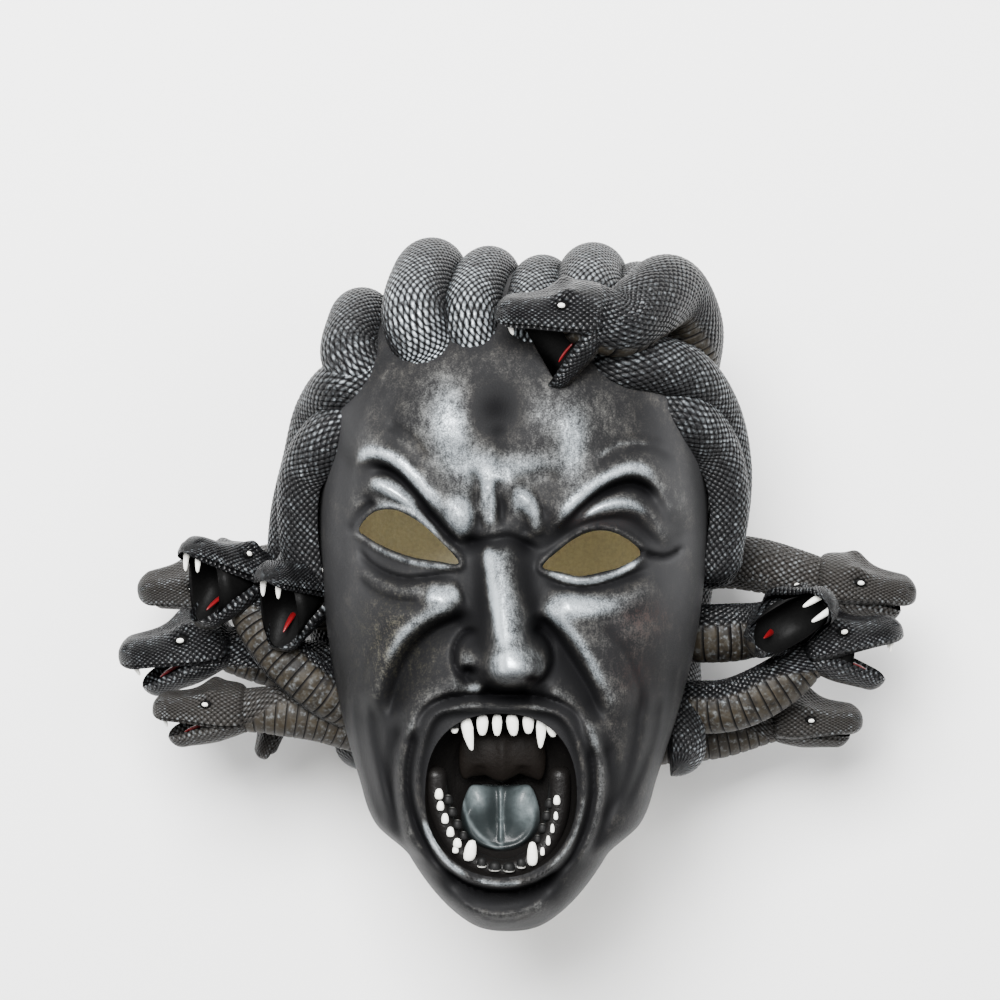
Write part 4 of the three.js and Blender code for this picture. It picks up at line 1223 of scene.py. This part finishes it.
def scale_relief(u, v):
    """Height of the scales at some places, 0 to 1, in the same pattern as the paint's."""
    best = np.full(u.shape, 9.0)
    for shift in (0.0, 0.5):
        du = (u + shift) % 1 - 0.5
        dv = (v / 2 + shift) % 1 - 0.5
        best = np.minimum(best, (du * SCALE_FILL[0]) ** 2 + (dv * SCALE_FILL[1]) ** 2)
    return np.clip(1 - best, 0, 1)


def read_between(array, k):
    """An array read at places between its rows."""
    i = np.minimum(k.astype(int), len(array) - 2)
    t = (k - i)[:, None] if array.ndim > 1 else k - i
    return array[i] * (1 - t) + array[i + 1] * t


def tube_shell(name, path, radius, top_of, depth, narrowing=0, flat=False, belly=False):
    """A tube with rounded ends along a path, with scales of some depth. top_of gives the way its top
    faces at some places. A path's fourth number is its height over the hood, under which a flat tube
    is flat."""
    places, tangents, length, lifts = along_path(path, GRID_STEP)
    tops = top_of(places)
    tops -= tangents * np.sum(tops * tangents, 1)[:, None]
    tops /= np.linalg.norm(tops, axis=1)[:, None]
    sides = np.cross(tangents, tops)
    radii = radius * (1 - narrowing * smooth(np.linspace(0, 1, len(places)), 0.5, 1))
    cap_start, cap_end = radii[0] * CAP, radii[-1] * CAP
    total = cap_start + length + cap_end
    half_turn = FLAT_COIL_ARC if flat else math.pi
    scales = max(6, round(2 * half_turn * radii.max() / SCALE_WIDTH))
    around = scales * 4 + (4 if flat else 0)
    round_share = scales * 4 / around

    def angle_at(u):
        return np.interp(u, [0, round_share, 1], [-half_turn, half_turn, half_turn])

    def belly_weight(angle):
        return belly * smooth(np.abs(angle), BELLY_FROM, BELLY_FULL)

    def place(u, v):
        s = v * total - cap_start
        k = np.clip(s / length, 0, 1) * (len(places) - 1)
        centre, tangent, top, side, r = [read_between(a, k) for a in (places, tangents, tops, sides, radii)]
        centre = centre + tangent * (np.clip(s, None, 0) + np.clip(s - length, 0, None))[:, None]
        ends = arc(np.clip(-s / cap_start, 0, 1) + np.clip((s - length) / cap_end, 0, 1))
        angle = angle_at(u)
        chord = np.clip((u - round_share) / (1 - round_share + 1e-9), 0, 1) if flat else 0 * u
        weight = belly_weight(angle)
        plate = 1 - smooth((s / PLATE_LENGTH) % 1, PLATE_EDGE, 1)
        relief = scale_relief(u / round_share * scales, s / SCALE_ROW) * (1 - weight) + plate * weight
        r = r * ends + depth * (relief - 0.5) * ends * (chord <= 0)
        out, across = r * np.cos(angle), r * np.sin(angle)
        if flat:
            across = np.where(u > round_share, across * (1 - 2 * chord), across)
            under = read_between(lifts[:, 0], k) if lifts.shape[1] else COIL_LIFT
            out = np.maximum(out, -BURIED - under)
        result = centre + top * out[:, None] + side * across[:, None]
        result[:, 2] = np.maximum(result[:, 2], 0)
        return result

    def values(u, v):
        angle = angle_at(u)
        return {"belly": belly_weight(angle), "angle": np.cos(angle)}

    return wrapped_grid(name, around, round(total / GRID_STEP), place,
                        (scales / round_share, total / SCALE_ROW), values, cap_start / SCALE_ROW)


def dome_point(x, angle, lift):
    f = fall((x - FACE_X) / (SKULL_WIDTH + lift), 2.3)
    reach = FOREHEAD_RISE if math.cos(angle) > 0 else BACK_DROP
    return (x, CROWN_Y + (CROWN_RISE + lift) * f * math.sin(angle),
            SKULL_MID_Z + (reach + lift) * f * math.cos(angle))


def back_point(x, y, lift):
    width, _, middle, back = [float(v) for v in section_at(y)]
    f = fall((x - FACE_X) / (width + lift), BACK_POWER)
    return (x, y, middle - (middle - back + lift) * f)


def flank_point(side, y, z, lift):
    width, _, middle, back = [float(v) for v in section_at(y)]
    f = fall((middle - z) / (middle - back + lift), BACK_POWER)
    return (FACE_X + side * (width + lift) * f, y, z)


def coil_paths():
    """Path and radius of each coil. A fourth number is the path's height over the hood."""
    coils = {}
    for i, (x_front, x_top, start_angle, lift, radius) in enumerate(CROWN_COILS):
        spots = [(x_front, start_angle), ((x_front + x_top) / 2, start_angle + 26)]
        spots += [(x_top, angle) for angle in (90, 125, 160)]
        over = [(*dome_point(x, math.radians(angle), lift), lift) for x, angle in spots]
        middle = np.array([FACE_X, CROWN_Y, SKULL_MID_Z])
        first = np.array(dome_point(x_front, math.radians(start_angle - 9), lift))
        depth = COIL_DIVE * np.linalg.norm(middle - first)
        over.insert(0, (*(first + COIL_DIVE * (middle - first)), lift - depth))
        down = [(*back_point(x_top, y, lift), lift) for y in (40, 0, -45, NAPE_Y)]
        coils[f"crown_coil_{i + 1}"] = over + down, radius
    for side, name in ((-1, "left_flank_coil"), (1, "right_flank_coil")):
        path = [flank_point(side, y, FLANK_COIL_Z, COIL_LIFT) for y in (95, 60, 15, -30, -75)]
        coils[name] = path, COIL_RADIUS
    for name, path in TEMPLE_COILS.items():
        coils[name] = path, COIL_RADIUS - 1
    return coils


class MASK_OT_coils(bpy.types.Operator):
    """Lays the scaled coils over the hood"""

    bl_idname = "medusa.coils"
    bl_label = "Coils of the hood"

    def execute(self, context):
        finish, sizes = context.scene.mask_finish, context.scene.mask_sizes
        scaled = ready(scaled_latex, "scaled_latex", finish, finish.latex)
        for name, (path, radius) in coil_paths().items():
            piece = tube_shell(name, path, radius, outward, sizes.scale_depth / MM, flat=True)
            x, _, z = points_of(piece).T / MM
            # Silver brushed on the coils' tops, with painted highlight where they rise near the face and on
            # the lit side to the viewer's right
            highlight_near_face = smooth(z, 138, 198) * (1 - smooth(np.abs(x + 20), 40, 100))
            lit_side = 0.14 * smooth(x, 60, 100)
            ridge = smooth(read_attribute(piece, "angle"), 0.35, 0.98)
            set_attribute(piece, "silver_and_highlight", 0.08 + (0.16 + 0.54 * highlight_near_face + lit_side) * ridge)
            hand_over(dress(piece, scaled))
        return {"FINISHED"}


# Snakes

# Shares of the head's width and height, from the hinge to the tip
UPPER_WIDTH = [(0, 0.62), (0.16, 0.95), (0.3, 1.0), (0.48, 0.86), (0.68, 0.68), (0.86, 0.58), (1, 0.5)]
UPPER_TOP = [(0, 0.8), (0.18, 1.0), (0.35, 1.0), (0.5, 0.84), (0.65, 0.68), (0.86, 0.58), (1, 0.46)]
LOWER_WIDTH = [(0, 0.55), (0.2, 0.85), (0.4, 0.84), (0.65, 0.66), (0.88, 0.5), (1, 0.44)]
UPPER_OUTSIDE, LOWER_OUTSIDE = 0.62, 0.55  # share of the way round a jaw that is its outside
JAW_SCALE_WIDTH = 2.3  # narrower than on a coil
NECK_NARROWING = 0.16  # towards the head, as a share of the radius
# Middles of an eye and its socket in head lengths, widths and heights, and their radii in millimetres
EYE_FORMS = {
    "eye": ((0.32, 0.75, 0.52), (1.9, 1.4, 1.3)),
    "socket": ((0.31, 0.71, 0.5), (3.4, 1.6, 2.3)),
}


class Head:
    """Sizes and place of one snake's head. Its own x runs ahead, its y across and its z up."""

    def __init__(self, snake):
        self.size, self.gape = snake["size"], snake["gape"]
        self.length, self.width, self.height = [
            full * self.size for full in (HEAD_LENGTH, HEAD_WIDTH, HEAD_HEIGHT)]
        ahead = np.array(snake["forward"], float)
        ahead /= np.linalg.norm(ahead)
        across = np.cross(np.array(snake["top"], float), ahead)
        across /= np.linalg.norm(across)
        self.axes = np.stack([ahead, across, np.cross(ahead, across)])
        self.hinge = np.array(snake["path"][-1], float)

    def place(self, x, y, z):
        return np.stack([x, y, z], 1) @ self.axes + self.hinge

    def lowered(self, degrees, x, y, z, drop=0):
        """Like place, but turned down about the hinge and then dropped."""
        c, s = math.cos(math.radians(degrees)), math.sin(math.radians(degrees))
        return self.place(x * c + z * s, y, -x * s + z * c - drop)


def profile(s, table):
    """A smooth reading of a short table of places and values."""
    line = smooth_curve(table, 12)
    return np.interp(s, line[:, 0], line[:, 1])


def jaw_end(s, start_share):
    return arc(np.clip(s - start_share, 0, 1) / (1 - start_share))


def both_ends(s):
    return jaw_end(s, 0.86) * arc(1 - np.clip(s / 0.12, 0, 1))


def half_turns(u, outside):
    """The angles round the outside and round the inside of a jaw."""
    return [np.pi * np.clip(share, 0, 1) for share in (u / outside, (u - outside) / (1 - outside))]


def at_edges(angle, width):
    return bell(np.minimum(angle, np.pi - angle), 0, width)


def both_sides(angle, degrees, width):
    return bell(angle, math.radians(degrees), width) + bell(angle, math.radians(180 - degrees), width)


def in_mouth(u, outside):
    return (u > outside + 0.04) & (u < 0.96)


def upper_jaw(head):
    length, width, height = head.length, head.width, head.height
    back, lip = -0.24 * length, -0.12 * height

    def place(u, v):
        s = 1 - (1 - v) ** 1.25
        end = both_ends(s)
        w = width * profile(s, UPPER_WIDTH) * end
        top = height * profile(s, UPPER_TOP) * end
        a, b = half_turns(u, UPPER_OUTSIDE)
        brow = both_sides(a, 56, 0.2) * bell(s, 0.42, 0.1)
        socket = both_sides(a, 33, 0.22) * bell(s, 0.45, 0.08)
        crown_dip = bell(a, np.pi / 2, 0.3) * smooth(s, 0.3, 0.5) * (1 - smooth(s, 0.7, 0.95))
        nostril = both_sides(a, 50, 0.16) * bell(s, 0.93, 0.03)
        swell = 1 + (0.2 * brow - 0.13 * socket - 0.1 * crown_dip - 0.2 * nostril)
        lip_roll = 1 + 0.05 * at_edges(a, 0.14)
        y_over = w * signed_power(np.cos(a), 0.85) * swell * lip_roll
        z_over = lip + (top - lip) * np.sin(a) ** 0.8 * swell
        roof = 0.34 * height * np.sin(b) ** 0.7 * smooth(s, 0.02, 0.2) * jaw_end(s, 0.8)
        z_under = lip + (roof - 0.16 * height * at_edges(b, 0.22)) * end
        over = u < UPPER_OUTSIDE
        return head.place(back + (length - back) * s, np.where(over, y_over, -w * np.cos(b) * 0.9),
                          np.where(over, z_over, z_under))

    def values(u, v):
        s = 1 - (1 - v) ** 1.25
        a, _ = half_turns(u, UPPER_OUTSIDE)
        edge = (at_edges(a, 0.16) + both_sides(a, 56, 0.16)) * smooth(s, 0.2, 0.6)
        # Silver on the lips and brows, partly painted highlight
        return {"belly": 0 * u, "silver_and_highlight": np.where(u < UPPER_OUTSIDE, 0.02 + 0.28 * edge, 0.0),
                "inside": in_mouth(u, UPPER_OUTSIDE)}

    scales = (2 * np.pi * width * 0.7 / JAW_SCALE_WIDTH, length * 1.6 / SCALE_ROW)
    return wrapped_grid("upper_jaw", 64, 56, place, scales, values)


def lower_jaw(head):
    length, width, height = head.length, head.width, head.height
    rim = -0.05 * height

    def place(u, v):
        s = 1 - (1 - v) ** 1.2
        end = both_ends(s)
        w = width * profile(s, LOWER_WIDTH) * end
        a, b = half_turns(u, LOWER_OUTSIDE)
        deep = height * (0.8 - 0.26 * smooth(s, 0.4, 1)) * end
        y_under = -w * signed_power(np.cos(a), 0.85)
        z_under = rim - (deep + rim) * np.sin(a) ** 0.75
        floor = -0.42 * height * np.sin(b) ** 0.6 * smooth(s, 0.02, 0.2) * jaw_end(s, 0.82)
        z_over = rim + (floor + 0.16 * height * at_edges(b, 0.22)) * end
        under = u < LOWER_OUTSIDE
        return head.lowered(head.gape, length * (-0.22 + (0.88 + 0.22) * s),
                            np.where(under, y_under, w * np.cos(b) * 0.9),
                            np.where(under, z_under, z_over))

    def values(u, v):
        a, _ = half_turns(u, LOWER_OUTSIDE)
        # Silver on the jaw's edges, partly painted highlight
        return {"belly": smooth(np.sin(a), 0.55, 0.8) * (u < LOWER_OUTSIDE) * 0.6,
                "silver_and_highlight": 0.02 + 0.22 * at_edges(a, 0.2), "inside": in_mouth(u, LOWER_OUTSIDE)}

    scales = (2 * np.pi * width * 0.6 / JAW_SCALE_WIDTH, length * 1.35 / SCALE_ROW)
    return wrapped_grid("lower_jaw", 56, 48, place, scales, values)


def mark_inside(piece, inner):
    """Gives the faces inside a mouth their own finish."""
    piece.data.materials.append(inner)
    inside = read_attribute(piece, "inside") > 0.5
    slots = [1 if all(inside[i] for i in face.vertices) else 0 for face in piece.data.polygons]
    piece.data.polygons.foreach_set("material_index", slots)


def mouth_web(head, near_side):
    """A dark bowl between the jaws: the skin of both cheeks and the throat behind."""
    half = head.gape / 2
    reach = head.length * (0.34 + 0.3 * float(smooth(head.gape, 30, 56)))

    def place(a, b, c):
        wide, tall = signed_power(b, 0.7), signed_power(c, 0.8)
        wide = np.where(wide > 0, near_side * wide, wide)
        x = reach * np.where(a > 0, 1 - 0.5 * a, 1 - 1.3 * np.abs(a) ** 0.8)
        y = head.width * wide * (0.76 - 0.24 * np.clip(x / head.length, 0, 1))
        z = (3 * head.size + np.clip(x, 0, None) * math.tan(math.radians(half)) * 1.15) * tall
        return head.lowered(half, x, y, z, 0.1 * head.height)
    return ball("web", place, 36, 24)


def eye_form(head, side, form):
    middle, radii = EYE_FORMS[form]

    def place(a, b, c):
        x = head.length * middle[0] + radii[0] * head.size * a
        y = head.width * middle[1] + radii[1] * head.size * b
        z = head.height * middle[2] + radii[2] * head.size * c
        return head.place(x, side * y, z)
    return ball(form, place)


def fang(head, side):
    """A fang rooted in the upper jaw and a little hooked."""
    def place(a, b, c):
        t = (1 - c) / 2
        r = FANG_RADIUS * head.size * (1 - t) ** 0.36 * np.minimum(1, 6 * t + 0.2)
        ring = np.maximum(np.hypot(a, b), 1e-6)
        r = r / ring * np.minimum(ring * 2, 1)
        x = head.length * (0.86 - 0.06 * t * t) + r * a
        z = head.height * 0.22 - (head.height * 0.42 + FANG_LENGTH * head.size) * t
        return head.place(x, side * head.width * 0.25 + r * b, z)
    return ball("fang", place, 12)


def snake_tongue(head):
    def place(a, b, c):
        z = 0.9 * head.size * c + 0.8 * head.size * (1 - a * a) - 1.2
        return head.lowered(head.gape * 0.92, head.length * (0.46 + 0.2 * a),
                            1.5 * head.size * b * (1 - 0.4 * a), z, 1.5)
    return ball("lick", place, 16, 16)


def snake_neck(name, snake, head, depth):
    """The neck, whose belly turns under the head towards its end."""
    belly = np.array(snake["belly"], float)

    def top_of(places):
        share = smooth(np.linspace(0, 1, len(places)), 0.6, 1)[:, None]
        return -belly / np.linalg.norm(belly) * (1 - share) + head.axes[2] * share

    neck = tube_shell(
        name + "_neck", snake["path"], snake["radius"], top_of, depth, NECK_NARROWING, belly=True)
    # Silver on the neck, more on what faces up, as painted highlight
    set_attribute(neck, "silver_and_highlight", 0.02 + 0.16 * np.clip(normals_of(neck)[:, 2], 0, 1))
    return neck


def build_snake(name, snake, finish, depth):
    if snake.get("matt"):
        scales = ready(scaled_latex, "matt_scales", finish, finish.matt_scales)
    else:
        scales = ready(scaled_latex, "glossy_scales", finish, finish.glossy_scales, 0.13)
    throat = ready(plain_latex, "throat_latex", THROAT_BLACK, 0.45, 0.3, specular=0.04)
    white = ready(fang_paint, "fang_paint", finish)
    head = Head(snake)
    jaws = [upper_jaw(head), lower_jaw(head)]
    parts = [(snake_neck(name, snake, head, depth), scales)] + [(jaw, scales) for jaw in jaws]
    parts.append((mouth_web(head, snake.get("near_side", 1)), throat))
    open_mouth = head.gape >= FANGS_SHOW_FROM
    for side in (-1, 1):
        parts += [(eye_form(head, side, "eye"), white), (eye_form(head, side, "socket"), throat)]
        if open_mouth:
            parts.append((fang(head, side), white))
    if open_mouth:
        red = ready(plain_latex, "tongue_paint", finish.tongue, 0.35, 0.2, (0.3, 0.1))
        parts.append((snake_tongue(head), red))
    for part, material in parts:
        dress(part, material)
    for jaw in jaws:
        mark_inside(jaw, throat)
    piece = join(name.replace("_snake", "_serpent"), [part for part, _ in parts])
    hand_over(piece, name)


class MASK_OT_snakes(bpy.types.Operator):
    """Models the eleven glued-on snakes"""

    bl_idname = "medusa.snakes"
    bl_label = "Snakes"

    def execute(self, context):
        finish, sizes = context.scene.mask_finish, context.scene.mask_sizes
        for name, snake in SNAKES.items():
            build_snake(name, snake, finish, sizes.scale_depth / MM)
        return {"FINISHED"}


# Stage, in metres

CAMERA_X = -0.0083
CAMERA_Y = 0.041
CAMERA_LENS = 106.6
SENSOR_WIDTH = 36
# Place, width and power in watts of each light, which all shine on the face
LIGHTS = {
    "key": ((-0.35, 0.85, 2.0), 1.1, 200),
    "fill": ((1.0, 0.2, 1.5), 1.0, 18),
    "left": ((-1.2, 0.1, 1.1), 0.8, 5),
}
LIGHT_AIM = (0, 0, 0.1)
SKY_STRENGTH = 0.5
FLOOR_TONES = (0.98, 0.98, 0.975), (0.96, 0.96, 0.955)


def area_light(name, place, size, power):
    data = bpy.data.lights.new(name, "AREA")
    data.size = size
    data.energy = power
    light = bpy.data.objects.new(name, data)
    bpy.context.collection.objects.link(light)
    light.location = place
    way = np.array(LIGHT_AIM, float) - np.array(place, float)
    light.rotation_euler = Vector(way).to_track_quat("-Z", "Y").to_euler()


class MASK_OT_stage(bpy.types.Operator):
    """Lays the floor, hangs the lights and sets the camera"""

    bl_idname = "medusa.stage"
    bl_label = "Stage"

    def execute(self, context):
        floor = start("floor", bpy.ops.mesh.primitive_plane_add, size=8, location=(0, 0, -0.0005))
        paint = Paint("pale_floor")
        shade = paint.mix(paint.noise(4, 2), *FLOOR_TONES)
        dress(floor, paint.finish(shade, 0.9))
        for name, light in LIGHTS.items():
            area_light(name, *light)
        world = bpy.data.worlds.new("studio")
        context.scene.world = world
        world.use_nodes = True
        background = world.node_tree.nodes["Background"]
        background.inputs["Color"].default_value = (1, 1, 1, 1)
        background.inputs["Strength"].default_value = SKY_STRENGTH
        data = bpy.data.cameras.new("camera")
        data.lens = CAMERA_LENS
        data.sensor_width = SENSOR_WIDTH
        data.clip_end = 20
        camera = bpy.data.objects.new("camera", data)
        context.collection.objects.link(camera)
        camera.location = (CAMERA_X, CAMERA_Y, context.scene.mask_sizes.camera_height)
        context.scene.camera = camera
        return {"FINISHED"}


class MASK_PT_panel(bpy.types.Panel):
    """Sizes, colours and steps of the mask"""

    bl_idname = "MASK_PT_panel"
    bl_label = "Medusa mask"
    bl_space_type = "VIEW_3D"
    bl_region_type = "UI"
    bl_category = "Medusa mask"

    def draw(self, context):
        for settings in (context.scene.mask_sizes, context.scene.mask_finish):
            for name in settings.bl_rna.properties.keys():
                if name not in ("rna_type", "name"):
                    self.layout.prop(settings, name)
        for operator in OPERATORS:
            self.layout.operator(operator.bl_idname)


OPERATORS = [MASK_OT_stage, MASK_OT_skin, MASK_OT_mouth, MASK_OT_coils, MASK_OT_snakes]
CLASSES = [MaskFinish, MaskSizes, MASK_PT_panel, *OPERATORS]


def register():
    for cls in CLASSES:
        bpy.utils.register_class(cls)
    bpy.types.Scene.mask_finish = bpy.props.PointerProperty(type=MaskFinish)
    bpy.types.Scene.mask_sizes = bpy.props.PointerProperty(type=MaskSizes)


def unregister():
    del bpy.types.Scene.mask_sizes
    del bpy.types.Scene.mask_finish
    for cls in reversed(CLASSES):
        bpy.utils.unregister_class(cls)


def main():
    register()
    bpy.ops.medusa.stage()
    bpy.ops.medusa.skin()
    bpy.ops.medusa.mouth()
    bpy.ops.medusa.coils()
    bpy.ops.medusa.snakes()


if __name__ == "__main__":
    main()
